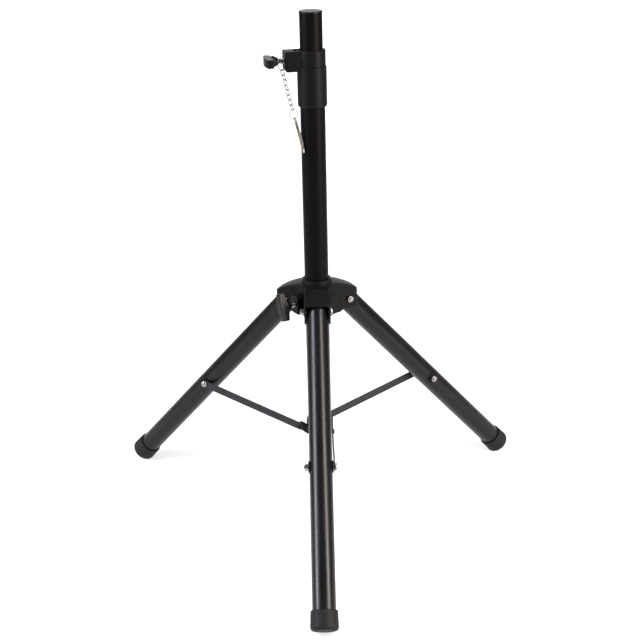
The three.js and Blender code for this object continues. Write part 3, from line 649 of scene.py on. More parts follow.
def button_bolt(shank, head, height, start, seat, socket=True):
    """A shank on Z and a domed head whose socket has hexagon walls and a coned floor."""
    angle = circle(NUT_SIDES)[None]
    top = seat + height
    key = head * KEY_SHARE
    flat = key * DOME_SHARE
    dome = np.linspace(0, np.pi / 2, 9)[:, None]
    rows = np.array([(0, start), (shank - 0.5, start), (shank, start + 0.5), (shank, seat),
                     (head - 0.2, seat), (head, seat + 0.2)])
    size = [rows[:, :1] + 0 * angle, flat + (head - flat) * np.cos(dome) + 0 * angle]
    level = [rows[:, 1:] + 0 * angle,
             seat + HEAD_RIM + (height - HEAD_RIM) * np.sin(dome) + 0 * angle]
    if socket:
        wall = hexagon_radius(key * 2, angle)
        size += [wall * 1.06, wall, wall, 0 * wall]
        level += [top - drop + 0 * wall for drop in (0, 0.2, height * 0.55, height * 0.75)]
    else:
        size.append(0 * angle)
        level.append(top + 0 * angle)
    return spun(np.concatenate(size), np.concatenate(level), angle)


print("a thread 10 mm long is a grid of", threaded(4, 0, 10).shape[:2])

# %% [markdown]
# ## The mast and its plug
#
# The mast is a drawn steel tube with 1.5 mm walls, sawn, deburred and powder coated. A turned
# ring with rounded ends is all it needs: what the eye reads is the coat, not the shape.

# %% Mast tube and end plug
GAP = 0.3  # clearance between pieces that fit together
WALL = 1.5
TRUE = 0.05  # a turned piece is this much slimmer than its CAD box
mast_frame = place(mast_foot, (1, 0, 0), UP)
mast_radius = (mast_high - mast_low)[0] / 2
mast_bottom, mast_top = mast_low[2], mast_high[2]
mast_bore, mast_fit = mast_radius - WALL, mast_radius + GAP
mast_tube = tube(mast_bore, mast_radius - TRUE, mast_bottom, mast_top)
piece("mast_tube", mast_frame, mast_tube, mast_coat)


def end_plug(flange_radius, grip_radius, flange_end, flange_face, grip_end):
    """A moulded plug: a rounded flange that shows and a spigot that grips the tube."""
    return turned(rounded([(0, flange_end, 0), (flange_radius, flange_end, 1.4),
                           (flange_radius, flange_face, 0.2), (grip_radius, flange_face, 0.1),
                           (grip_radius, grip_end, 0.8), (0, grip_end, 0)]))


plug_low, plug_high = span("mast_end_plug")
mast_plug = end_plug(mast_radius - TRUE, mast_bore - GAP, plug_low[2], mast_bottom - GAP, plug_high[2])
piece("mast_end_plug", mast_frame, mast_plug, nylon)
print("mast radius", round(mast_radius, 2), "mm, from", round(mast_bottom), "to", round(mast_top))

# %% [markdown]
# ## The telescopic pole and its cap
#
# The 35 mm pole slides in the mast, with a row of holes for the safety pin bored through it. The
# holes are cut, not painted, since they pass daylight when the pole is up. The cap is a push-in
# moulding with a slightly domed top: the dome is what turns the top face pale under the lamp
# above, while its rounded rim stays dark.

# %% Inner pole, cap and plug
PIN_HOLE, FIRST_HOLE, HOLE_PITCH, HOLES = 2.5, 95, 60, 5
DRILL_HALF = 30
CAP_RISE, CAP_FLAT = 0.5, 0.86  # the dome's height, and where it starts as a share of the brim
pole_low, pole_high = span("inner_pole")
pole_radius = (pole_high - pole_low)[0] / 2
pole_bottom, pole_top = pole_low[2], pole_high[2]
pole_bore, pole_fit = pole_radius - WALL, pole_radius + GAP
spigot = pole_bore - GAP
pole = solid("pole", mast_frame, tube(pole_bore, pole_radius - TRUE, pole_bottom, pole_top))
drills = []
for height in pole_top - FIRST_HOLE - HOLE_PITCH * np.arange(HOLES):
    drill = along_x(rod(PIN_HOLE, -DRILL_HALF, DRILL_HALF, 24)) + [0, 0, height]
    drills.append(solid("drill", mast_frame, drill))
present("inner_pole", combined(pole, "DIFFERENCE", *drills), mast_coat)

cap_low, cap_high = span("pole_top_cap")
brim = (cap_high - cap_low)[0] / 2 - TRUE
crown = cap_high[2]
cap_seat = pole_top + GAP
inward = 1 - np.linspace(0, 1, 12)[1:, None]
cap_dome = np.concatenate([brim * inward * CAP_FLAT, crown - CAP_RISE * inward ** 2], -1)
cap_side = rounded([(0, cap_low[2], 0), (spigot, cap_low[2], 1), (spigot, cap_seat, 0.1),
                    (brim, cap_seat, 0.3), (brim, crown - CAP_RISE, 1.5),
                    (brim * CAP_FLAT, crown - CAP_RISE, 0)])
piece("pole_top_cap", mast_frame, turned(np.concatenate([cap_side, cap_dome])), smooth_nylon)
plug_low, plug_high = span("pole_end_plug")
pole_plug = end_plug(pole_radius - TRUE, spigot, plug_low[2], pole_bottom - GAP, plug_high[2])
piece("pole_end_plug", mast_frame, pole_plug, nylon)
print("pole radius", round(pole_radius, 2), "mm, with", len(drills), "pin holes")

# %% [markdown]
# ## The pole clamp
#
# The clamp is one nylon moulding: a long sleeve over the mast, a narrower ring above the seam,
# and a block on the left that holds the nut of the clamp screw in an open pocket. The block and
# the turned sleeve are joined, then the bore, the pocket and the screw's hole are cut. The wide
# radius round the sleeve's lower edge makes the bright arc there.

# %% Pole clamp and its nut
CLAMP_AZIMUTH = math.radians(191)
BLOCK_HEIGHT, BLOCK_REACH, BLOCK_HALF, BLOCK_START = 31, 43, 12.5, 10
SLEEVE_WALL, RING_WALL = 3.1, 3.7
SCREW, NUT_FLATS = 4, 13
POCKET_HALF, POCKET_DEPTH, POCKET_NEAR, POCKET_FAR = 6.8, 7.8, 3.8, 10.6
CLEAR = 5  # how far a cutting tool runs out of the piece
clamp_low, clamp_high = span("pole_clamp")
clamp_top, clamp_bottom = clamp_high[2], clamp_low[2]
clamp_axis = clamp_top - BLOCK_HEIGHT / 2


def facing(azimuth, height, roll=0):
    """X outwards along an azimuth from the mast, Z up but turned about X by an angle."""
    out = np.array([math.cos(azimuth), math.sin(azimuth), 0])
    side = np.cross(UP, out)
    return place(mast_foot + UP * height, out, math.cos(roll) * UP - math.sin(roll) * side)


def screw_hole(reach):
    """The tool for a clamp screw's hole, from the mast's axis outwards."""
    return along_x(rod(SCREW + GAP, 0, reach + CLEAR, 40))


sleeve, ring = mast_fit + SLEEVE_WALL, pole_fit + RING_WALL
shell = turned(rounded([(0, clamp_bottom, 0), (sleeve - TRUE, clamp_bottom, 3.6),
                        (sleeve - TRUE, mast_top, 0.8), (ring - 0.4, mast_top, 0.2),
                        (ring - TRUE, mast_top + 1, 0.5), (ring - TRUE, clamp_top, 1.2),
                        (0, clamp_top, 0)]))
half = BLOCK_HEIGHT / 2
block_side = rounded([(BLOCK_START, -half, 0), (BLOCK_REACH, -half, 5), (BLOCK_REACH, half, 1.6),
                      (BLOCK_START, half, 0)], closed=True)
block = on_edge(slab(block_side, -BLOCK_HALF, BLOCK_HALF, 1.4))
clamp_frame = facing(CLAMP_AZIMUTH, clamp_axis)
clamp = solid("clamp", mast_frame, shell)
combined(clamp, "UNION", solid("block", clamp_frame, block))
bore = [(0, clamp_bottom - CLEAR), (mast_fit, clamp_bottom - CLEAR), (mast_fit, mast_top + GAP),
        (pole_fit, mast_top + GAP), (pole_fit, clamp_top + CLEAR), (0, clamp_top + CLEAR)]
pocket_low, pocket_high = pole_fit + POCKET_NEAR, pole_fit + POCKET_FAR
wide = (-POCKET_HALF, POCKET_HALF)
pocket = box_grid((pocket_low, pocket_high), wide, (-POCKET_DEPTH, half + CLEAR))
notch = box_grid((BLOCK_START, pocket_low + 1), wide, (half - CLEAR, half + CLEAR))
combined(clamp, "DIFFERENCE", solid("bore", mast_frame, turned(bore)),
         solid("pocket", clamp_frame, pocket), solid("notch", clamp_frame, notch),
         solid("hole", clamp_frame, screw_hole(BLOCK_REACH)))
present("pole_clamp", clamp, nylon)
clamp_nut = along_x(hex_nut(NUT_FLATS, SCREW + 0.1, pocket_low + GAP, pocket_high - GAP))
piece("clamp_nut", clamp_frame, clamp_nut, zinc)
print("clamp screw at", round(clamp_axis, 1), "mm")

# %% [markdown]
# ## The clamp knobs
#
# Each knob is a wing bar moulded round a screw. The bar is a flat plan with a thickness: a crowned
# outer side, square ends and an inner side that runs back from the boss, with every edge rounded
# by about a millimetre, so its facets stay crisp. A turned cone joins it to the screw. The screws
# carry a rolled 1.25 mm thread, the bright glint between knob and clamp.

# %% Knob handles, screws and shoes
KNOB_HALF, KNOB_THICK, KNOB_EDGE = 22.5, 6.5, 1.1
KNOB_FRONT, KNOB_CROWN = 20, 2.5
KNOB_END = KNOB_FRONT - KNOB_CROWN
KNOB_CONE, KNOB_BORE, KNOB_CORNER = 6, 13.5, 1.6
SHOE_RADIUS, SHOE_END, SCREW_END = 3.7, 2.3, 2.6
POLE_KNOB_GAP = 10


def knob_bar():
    """The bar's outline in depth and length: a crowned outer side, x = 20 - 2.5 (y / 22.5)^2, flat
    ends, and an inner side that runs back from the boss to the shallower ends."""
    share = np.linspace(1, -1, 25)
    outer = np.stack([KNOB_FRONT - KNOB_CROWN * share ** 2, KNOB_HALF * share], -1)
    inner = rounded([(KNOB_END, -KNOB_HALF, 0), (9.2, -KNOB_HALF, 1.5), (8.3, -KNOB_HALF + 2, 1.5),
                     (KNOB_CONE, -9, 6), (KNOB_CONE, 9, 6), (8.3, KNOB_HALF - 2, 1.5),
                     (9.2, KNOB_HALF, 1.5), (KNOB_END, KNOB_HALF, 0)])
    upper = rounded([(*outer[1], 0), (*outer[0], KNOB_CORNER), (*inner[-2], 0)])
    lower = rounded([(*inner[1], 0), (*outer[-1], KNOB_CORNER), (*outer[-2], 0)])
    plan = np.concatenate([outer[1:-1], lower[::-1][1:-1], inner[1:-1], upper[::-1][1:-1]])[::-1]
    return on_edge(slab(plan, -KNOB_THICK, KNOB_THICK, KNOB_EDGE))


def make_knob(prefix, azimuth, height, roll, reach, tip):
    """Handle, screw and shoe of one clamp knob, on its own axis."""
    grip = facing(azimuth, height, roll)
    grip[:3, 3] += reach * grip[:3, 0]
    cone = rounded([(0, 0, 0), (6, 0, 0.6), (9.5, 7, 0.3), (7, 9, 0.3), (0, 9, 0)])
    handle = solid("handle", grip, knob_bar())
    combined(handle, "UNION", solid("cone", grip, along_x(turned(cone))))
    room = along_x(rod(SCREW + GAP, -3, KNOB_BORE, 40))
    combined(handle, "DIFFERENCE", solid("room", grip, room))
    present(prefix + "_handle", handle, smooth_nylon)
    axis = facing(azimuth, height)
    screw = along_x(threaded(SCREW, tip + SCREW_END, reach + KNOB_BORE - GAP))
    piece(prefix + "_screw", axis, screw, zinc)
    shoe = rounded([(0, tip + GAP, 0), (SHOE_RADIUS, tip + GAP, 0.4),
                    (SHOE_RADIUS, tip + SHOE_END, 0.4), (0, tip + SHOE_END, 0)])
    piece(prefix + "_shoe", axis, along_x(turned(shoe)), acetal)


make_knob("pole_knob", CLAMP_AZIMUTH, clamp_axis, roll=math.radians(90),
          reach=BLOCK_REACH + POLE_KNOB_GAP, tip=pole_radius)

# %% [markdown]
# ## The chain
#
# Links are bent from 1.3 mm wire, so each is a circle swept round an oval. Neighbours stand a
# quarter turn apart, as links must to pass through each other. An array along a curve could set
# them out too, but here each has its place from its own CAD node. The key ring is a real split
# ring: two turns of a coil pressed together.

# %% Chain and key ring
WIRE = 0.65
LOOP_LENGTH, LOOP_WIDTH = 21, 12.73
LINKS, LINK_LENGTH, LINK_WIDTH = 8, 10.7, 7.5
TWIST, QUARTER = math.radians(30), math.radians(90)
RING_RADIUS, RING_WIRE, RING_LIFT = 7.55, 0.44, 0.3
COIL_SHARE = 0.985  # of the two turns, so that the ends of the coil don't meet
RING_CROSSING = [0, 5.6, 6.9, 12.4]  # angles between which the coil climbs to its second turn
down = unit(centre("chain_link_8") - centre("chain_link_1"))
chain_side = np.array([-math.sin(CLAMP_AZIMUTH), math.cos(CLAMP_AZIMUTH), 0])
chain_side = unit(chain_side - (chain_side @ down) * down)
chain_across = np.cross(-down, chain_side)


def hanging(middle, twist):
    """Z up the chain, and X turned about it from the side by an angle."""
    return place(middle, math.cos(twist) * chain_side + math.sin(twist) * chain_across, -down)


def link(node, length, width, twist):
    """A closed loop of wire in the place of a CAD node."""
    grid = wire(oval_loop(length, width, WIRE), WIRE, True)
    piece(node, hanging(centre(node), twist), grid, chain_plate)


link("chain_loop", LOOP_LENGTH, LOOP_WIDTH, TWIST)
for number in range(1, LINKS + 1):
    twist = TWIST + QUARTER * (number % 2)
    link("chain_link_" + str(number), LINK_LENGTH, LINK_WIDTH, twist)

ring_twist = TWIST + QUARTER
coil = np.linspace(0, 4 * np.pi * COIL_SHARE, 160)
climb = np.interp(coil, RING_CROSSING, [-RING_LIFT, -RING_LIFT, RING_LIFT, RING_LIFT])
ring_path = np.stack([RING_RADIUS * np.cos(coil), climb, RING_RADIUS * np.sin(coil)], -1)
ring_frame = hanging(centre("key_ring"), ring_twist)
piece("key_ring", ring_frame, wire(ring_path, RING_WIRE, False), chain_plate)

# %% [markdown]
# ## The safety pin
#
# The pin is turned from rod, with a pointed nose, and hangs by an eye of thick wire brazed to its
# head, so the two are joined into one mesh. Its spring wire bows out beside it, to snap round the
# pole when the pin is in a hole.

# %% Pin and spring wire
EYE, EYE_WIRE = 3.15, 0.75
RING_OUTER, EYE_OVERLAP = 8, 3
PIN_LENGTH, PIN_RADIUS, NOSE_RADIUS = 52, 2, 1.1
BOW_SIDE, BOW, BOW_LENGTH = 2.75, 1.3, 45.6
eye_middle = centre("key_ring") + down * (RING_OUTER - EYE_OVERLAP + EYE)
pin_frame = hanging(eye_middle, ring_twist + QUARTER)
shoulder = EYE_WIRE - EYE
nose = shoulder - PIN_LENGTH
shank = rounded([(0, nose, 0), (NOSE_RADIUS, nose, 0.5), (PIN_RADIUS, nose + 2, 0.8),
                 (PIN_RADIUS, shoulder - 1, 0.5), (EYE_WIRE, shoulder + 0.2, 0.3),
                 (0, shoulder + 0.2, 0)])
eye = wire(oval_loop(2 * EYE, 2 * EYE, EYE_WIRE), EYE_WIRE, True, 20)
pin = solid("pin", pin_frame, turned(shank, 40))
combined(pin, "UNION", solid("eye", pin_frame, eye))
present("safety_pin", pin, pin_plate)
share = np.linspace(0, 1, 40)
bow_path = np.stack([-BOW_SIDE - BOW * np.sin(np.pi * share), 0 * share,
                     shoulder - 0.4 - BOW_LENGTH * share], -1)
piece("pin_spring_wire", pin_frame, wire(bow_path, RING_WIRE, False), chain_plate)

# %% [markdown]
# ## The arms
#
# The hub, the legs and the braces all follow three directions, one per leg. They are read from
# the joints, not typed in again, so that whatever is drawn here turns about the very pivots that
# the stand folds on.

# %% Where the arms and legs are


def arm_of(leg):
    """The directions and pivots of one arm, read from the joints."""
    hinge = pivot("leg_fold_" + leg)
    elbow = pivot("brace_fold_" + leg)
    out = unit((hinge - mast_foot) * [1, 1, 0])
    return {"out": out, "side": np.cross(UP, out), "hinge": hinge, "elbow": elbow,
            "down": unit(elbow - hinge)}


def arm_frame(leg, height):
    """X outwards along an arm, Y along its side, Z up, from the mast's axis."""
    return place(mast_foot + UP * height, arms[leg]["out"], UP)


arms = {leg: arm_of(leg) for leg in LEGS}
hub_height = arms["front"]["hinge"][2]
pivot_reach = np.linalg.norm((arms["front"]["hinge"] - mast_foot)[:2])
rivet = centre("brace_rivet_front")
inner_reach, inner_height = abs(rivet[1] - mast_foot[1]), rivet[2]
print("hub pivots at", round(hub_height, 1), "mm, legs open",
      round(math.degrees(math.acos(-arms["front"]["down"][2])), 2), "degrees from upright")

# %% [markdown]
# ## The hub's plan and dome
#
# The hub is the largest moulding. Its plan is three arms with concave webs between them, and its
# top a shallow dome. The body is one grid: the plan's outline stacked for the wall, rolled over at
# the rim, then shrunk to the middle while its height follows z = c + sqrt(R^2 - r^2). Sculpting
# would give the same dome, but then the pocket floors below could not be cut parallel to it.

# %% Hub plan and dome
ARM_HALF, ARM_REACH, ARM_START, ARM_CORNER = 21, pivot_reach + 16.5, 20, 3
WEB, WEB_STEP = 34, 0.8
DOME = 130
CORE_DROP, CHEEK_DROP, FOOT_EDGE = 20.5, 15.5, 0.6
COLLAR, COLLAR_RISE = 24.3, 7.3
EDGE = 1.6
THIRD = 2 * math.pi / 3
collar_top = span("hub_body")[1][2] - hub_height
dome_edge = collar_top - COLLAR_RISE
dome_centre = dome_edge - math.sqrt(DOME ** 2 - COLLAR ** 2)
hub_frame = place(mast_foot + UP * hub_height, (1, 0, 0), UP)


def dome_height(x, y, lower=0):
    """z = c + sqrt(R^2 - x^2 - y^2) - lower"""
    return dome_centre + np.sqrt(DOME ** 2 - x ** 2 - y ** 2) - lower


def spin(angle):
    """The plane's turn by an angle: (cos a, -sin a) over (sin a, cos a)."""
    return np.array([[math.cos(angle), -math.sin(angle)], [math.sin(angle), math.cos(angle)]])


def hub_outline():
    """Arm ends with rounded corners, joined by arcs that curve inwards."""
    corner = ARM_HALF / math.sin(math.pi / 3)
    middle = corner + WEB / math.sin(math.pi / 3)
    end = rounded([(ARM_START, -ARM_HALF, 0), (ARM_REACH, -ARM_HALF, ARM_CORNER),
                   (ARM_REACH, ARM_HALF, ARM_CORNER), (ARM_START, ARM_HALF, 0)])[1:-1]
    flat = np.linspace(-ARM_HALF + ARM_CORNER, ARM_HALF - ARM_CORNER, 30)
    across = np.stack([np.full(30, ARM_REACH), flat], -1)
    arc = np.linspace(math.radians(270), math.radians(210), 48)
    web = middle * np.array([math.cos(math.pi / 3), math.sin(math.pi / 3)])
    web = web + WEB * np.stack([np.cos(arc), np.sin(arc)], -1)
    web = web - WEB_STEP * unit(web)
    side = np.linspace(ARM_REACH - ARM_CORNER, web[0, 0], 14)[1:-1]
    side = np.stack([side, np.full(12, ARM_HALF)], -1)
    next_side = (side[::-1] * [1, -1]) @ spin(THIRD).T
    bend = len(end) // 2
    third = np.concatenate([end[:bend], across[1:-1], end[bend:], side, web, next_side])
    return np.concatenate([third @ spin(math.radians(-90 + 120 * i)).T for i in range(3)])


def level_row(plan, height):
    """A row of the hub's grid: a plan at a height."""
    return np.concatenate([plan, np.broadcast_to(height, len(plan))[:, None]], -1)


outline = hub_outline()
rows = [level_row(outline * 0, -CORE_DROP), level_row(inset(outline, FOOT_EDGE), -CORE_DROP),
        level_row(outline, -CORE_DROP + FOOT_EDGE)]
for angle in np.linspace(0, np.pi / 2, 6):
    rim = inset(outline, EDGE * (1 - np.cos(angle)))
    rows.append(level_row(rim, dome_height(*rim.T) - EDGE * (1 - np.sin(angle))))
for share in np.linspace(1, 0, 60)[1:]:
    plan = inset(outline, EDGE) * share
    rows.append(level_row(plan, dome_height(*plan.T)))
hub = solid("hub", hub_frame, np.stack(rows))
print("hub plan of", len(outline), "points in", len(rows), "rows")

# %% [markdown]
# ## The hub's collar and boss
#
# A stepped collar stands on the dome's middle, and a boss for the clamp screw looks out between
# two arms, with an arched outline like the end of a loaf. Both are closed solids of their own,
# joined to the body, which keeps each formula short.

# %% Hub collar and boss
COLLAR_STEP, STEP_RISE = 0.9, 3.65
BOSS_AZIMUTH, BOSS_REACH, BOSS_RISE, BOSS_START = math.radians(210), 43, 1.5, 14
step_radius, step_height = COLLAR - COLLAR_STEP, dome_edge + STEP_RISE
collar = turned(rounded([(0, 0, 0), (COLLAR, 0, 0), (COLLAR, step_height, 0.9),
                         (step_radius, step_height, 0.3), (step_radius, collar_top, 1.2),
                         (0, collar_top, 0)]))
arch = rounded([(-12, -14, 1.5), (12, -14, 1.5), (12, 17, 11), (-12, 17, 11)], closed=True, steps=16)
boss = slab(arch, BOSS_START, BOSS_REACH, 1.2)
boss = np.stack([boss[..., 2], boss[..., 0], boss[..., 1]], -1)
boss_frame = facing(BOSS_AZIMUTH, hub_height + BOSS_RISE)
combined(hub, "UNION", solid("collar", hub_frame, collar), solid("boss", boss_frame, boss))
print("collar top", round(collar_top, 1), "mm over the pivots")

# %% [markdown]
# ## The hub's slots, ribs and bores
#
# What is hollow is cut: a slot under each arm for its leg, the climb of the underside, the bolt
# holes, the ribbed panel of the front arm, and the rooms for bush, screw and nut. A slot's roof
# and the panel's floor follow the dome, so each tool is a block between two height fields.

# %% Cut the hub
SLOT_START, SLOT_HALF, SLOT_ROOF = 27, 18.15, 3
TOOL_START, TOOL_REACH, TOOL_HALF, TOOL_FLOOR = 28, 95, 60, -60
SKIRT_START, SKIRT_RUN = 29, 11
RIB_START, RIB_PITCH, RIB_TOP, RIB_DEPTH = 28, 4.1, 0.2, 1.5
PANEL_START, PANEL_END, PANEL_HALF, PANEL_ROOF = 28.2, 60.8, 17.2, 5
BUSH_ROOM, ROOM_FLOOR = 21.9, -40
BOLT, BOLT_SIDES, BOLT_REACH = 3, 32, 40
BOSS_POCKET, POCKET_ROOF = 6.8, 7.8


def between(x, y, floor, roof):
    """A block over x by y between two height fields: each station in x is a loop, out along the
    floor and back along the roof, and the two end stations shrink to their middles."""
    across = np.concatenate([y, y[::-1]])[None]
    upper = (np.arange(2 * len(y)) >= len(y))[None]
    height = np.where(upper, roof(x[:, None], across), floor(x[:, None], across))
    grid = np.stack([x[:, None] + 0 * height, across + 0 * height, height], -1)
    ends = grid.mean(1, keepdims=True) + 0 * grid
    return np.concatenate([ends[:1], grid, ends[-1:]])


def ribbed(x, y):
    """The panel's floor: rounded ridges 4.1 mm apart, between 0.2 and 1.7 mm under the dome."""
    wave = 0.5 + 0.5 * np.cos(2 * np.pi * (x - RIB_START) / RIB_PITCH)
    return dome_height(x, y, RIB_TOP + RIB_DEPTH * np.clip(1.4 * wave, 0, 1))


def deep(x, y):
    """A flat floor well under the hub."""
    return 0 * x * y + TOOL_FLOOR


def skirt(x, y):
    """The underside climbs smoothly from the core's foot to the cheeks: 3 s^2 - 2 s^3."""
    share = np.clip((x - SKIRT_START) / SKIRT_RUN, 0, 1)
    foot = CORE_DROP + 0.1
    return -foot + (foot - CHEEK_DROP) * (3 - 2 * share) * share ** 2 + 0 * y


tools = []
for leg in LEGS:
    leg_arm = arm_frame(leg, hub_height)
    slot = between(np.linspace(SLOT_START, TOOL_REACH, 40), np.linspace(-SLOT_HALF, SLOT_HALF, 13),
                   deep, lambda x, y: dome_height(x, y, SLOT_ROOF))
    tools.append(solid("slot", leg_arm, slot))
    under = between(np.linspace(TOOL_START, TOOL_REACH, 80),
                    np.linspace(-TOOL_HALF, TOOL_HALF, 3), deep, skirt)
    tools.append(solid("under", leg_arm, under))
    hole = rod(BOLT + GAP, -BOLT_REACH, BOLT_REACH, BOLT_SIDES)
    hole = np.stack([hole[..., 0] + pivot_reach, hole[..., 2], hole[..., 1]], -1)
    tools.append(solid("bolt_hole", leg_arm, hole))
panel = between(np.linspace(PANEL_START, PANEL_END, 160),
                np.linspace(-PANEL_HALF, PANEL_HALF, 21),
                ribbed, lambda x, y: dome_height(x, y, -PANEL_ROOF))
tools.append(solid("panel", arm_frame("front", hub_height), panel))
room = turned([(0, ROOM_FLOOR), (BUSH_ROOM, ROOM_FLOOR), (BUSH_ROOM, collar_top - 2),
               (mast_fit, collar_top - 2), (mast_fit, collar_top + CLEAR),
               (0, collar_top + CLEAR)])
tools.append(solid("room", hub_frame, room))
tools.append(solid("hole", boss_frame, screw_hole(BOSS_REACH)))
boss_pocket = box_grid((SLOT_START, SLOT_START + BOSS_POCKET), wide, (ROOM_FLOOR, POCKET_ROOF))
tools.append(solid("pocket", boss_frame, boss_pocket))
present("hub_body", combined(hub, "DIFFERENCE", *tools), nylon)

# %% [markdown]
# ## Inside the hub, and its knob
#
# The bush is a plain turned sleeve of acetal, which slides on the mast without oil. The clamp
# screw passes through a nut in the boss's pocket and presses a small acetal shoe on the mast, so
# that the screw doesn't scratch the coat. The knob is the clamp's again, turned to another angle,
# and the pivot bolts and nuts are one grid each, placed three times.

# %% Slide bush, nut, knob and pivot bolts
HUB_NUT, HUB_KNOB_GAP = 6.2, 7.5
BOLT_NUT, BOLT_BORE = 10, 3.05
bush = solid("bush", hub_frame, tube(mast_fit, BUSH_ROOM - GAP, -CORE_DROP, collar_top - 2.3))
combined(bush, "DIFFERENCE", solid("hole", boss_frame, screw_hole(BOSS_REACH)))
present("hub_bush", bush, acetal)
hub_nut = hex_nut(NUT_FLATS, SCREW + 0.1, SLOT_START + GAP, SLOT_START + GAP + HUB_NUT)
piece("hub_nut", boss_frame, along_x(hub_nut), zinc)
make_knob("hub_knob", BOSS_AZIMUTH, hub_height + BOSS_RISE, roll=math.radians(23),
          reach=BOSS_REACH + HUB_KNOB_GAP, tip=mast_radius)


def cross_frame(leg, point):
    """Z along an arm's side direction, X up: the frame of a bolt through a joint."""
    return place(point, UP, arms[leg]["side"])


pivot_bolt = button_bolt(BOLT, head=6.25, height=3.5, start=-27.9, seat=21.3)
pivot_nut = hex_nut(BOLT_NUT, BOLT_BORE, low=-26.3, high=-21.3)
for leg in LEGS:
    bolt_frame = cross_frame(leg, arms[leg]["hinge"])
    piece("leg_pivot_bolt_" + leg, bolt_frame, pivot_bolt, zinc)
    piece("leg_pivot_nut_" + leg, bolt_frame, pivot_nut, zinc)

# %% [markdown]
# ## Legs and feet
#
# Each leg is a powder coated tube that turns on its pivot bolt. The foot is a rubber cap pushed
# over the end: its mouth has a thin bevelled rim, the wall flares a little, and the sole's edge
# has a 6 mm radius, so the leg stands on rubber at any angle.

# %% Leg tubes and foot caps
LEG_RADIUS, LEG_LENGTH, LEG_TOP = 17.75, 499, 10
FOOT_RADIUS, SOLE_RADIUS, SOLE_EDGE = 20.35, 21.35, 6
FOOT_RIM, SOLE_THICK = 30, 4
leg_fit = LEG_RADIUS + GAP
sole, mouth = -LEG_LENGTH, FOOT_RIM - LEG_LENGTH
leg_pipe = tube(LEG_RADIUS - WALL, LEG_RADIUS - TRUE, SOLE_THICK + GAP - LEG_LENGTH, LEG_TOP)
foot_cap = turned(rounded([(0, sole, 0), (SOLE_RADIUS - TRUE, sole, SOLE_EDGE),
                           (FOOT_RADIUS - TRUE, mouth, 1.3), (leg_fit, mouth, 0.3),
                           (leg_fit, sole + SOLE_THICK, 1), (0, sole + SOLE_THICK, 0)], steps=10))
for leg in LEGS:
    arm = arms[leg]
    leg_frame = place(arm["hinge"], np.cross(arm["side"], -arm["down"]), -arm["down"])
    pipe = solid("pipe", leg_frame, leg_pipe)
    drill = rod(BOLT + GAP, -DRILL_HALF, DRILL_HALF, BOLT_SIDES)
    drills = [solid("drill", cross_frame(leg, arm[point]), drill) for point in ("hinge", "elbow")]
    present("leg_tube_" + leg, combined(pipe, "DIFFERENCE", *drills), leg_coat)
    piece("foot_cap_" + leg, leg_frame, foot_cap, rubber)

# %% [markdown]
# ## Saddle washers and their bolts
#
# A flat brace bar can't bear on a round tube, so a moulded saddle washer sits on each side: its
# back follows the tube, h = sqrt((R + gap)^2 - x^2), and its front is a flat face with a rounded
# rim. A Boolean with the tube would cut the same back, but the grid makes it in one step. A
# button-head bolt goes through bar, washers and tube into a nut on the other side.

# %% Saddle washers, bolts and nuts
SADDLE_RADIUS, SADDLE_FACE, SADDLE_EDGE, SADDLE_HOLE = 9.5, 19.3, 1.1, 3.3


def saddle(sides=96, rings=16):
    """A disc whose back follows the leg tube, which runs along Y, with a hole for the bolt."""
    roll = np.linspace(0, np.pi / 2, 6)[1:, None]
    flat = SADDLE_RADIUS - SADDLE_EDGE
    face = np.concatenate([np.linspace(SADDLE_HOLE, flat, 5)[:, None],
                           SADDLE_RADIUS - SADDLE_EDGE * (1 - np.sin(roll))])
    level = np.concatenate([np.full((5, 1), SADDLE_FACE),
                            SADDLE_FACE - SADDLE_EDGE * (1 - np.cos(roll))])
    size = np.concatenate([face, np.linspace(SADDLE_RADIUS, SADDLE_HOLE, rings)[:, None]])
    angle = circle(sides)[None]
    behind = np.sqrt(leg_fit ** 2 - (size * np.cos(angle)) ** 2)
    height = np.concatenate([level + 0 * angle, behind[len(face):]])
    grid = spun(size, height, angle)
    return np.concatenate([grid, grid[:1]])


washer = saddle()
brace_bolt = button_bolt(BOLT, head=5.5, height=3, start=-26.2, seat=22.1)
brace_nut = hex_nut(BOLT_NUT, BOLT_BORE, low=-24.6, high=-19.6)
print("a saddle washer is a grid of", washer.shape[:2])

# %% [markdown]
# ## Brace bars, and all three braces
#
# A brace is flat bar, cropped round at both ends and punched twice. Its plan is two half circles,
# so the ends are true about their holes and swing past their neighbours. The rivet at the inner
# end is a plain domed one, without a socket. Washers, bolt, nut, bar and rivet are then set on
# each leg in turn, at the elbow that its joint gives.

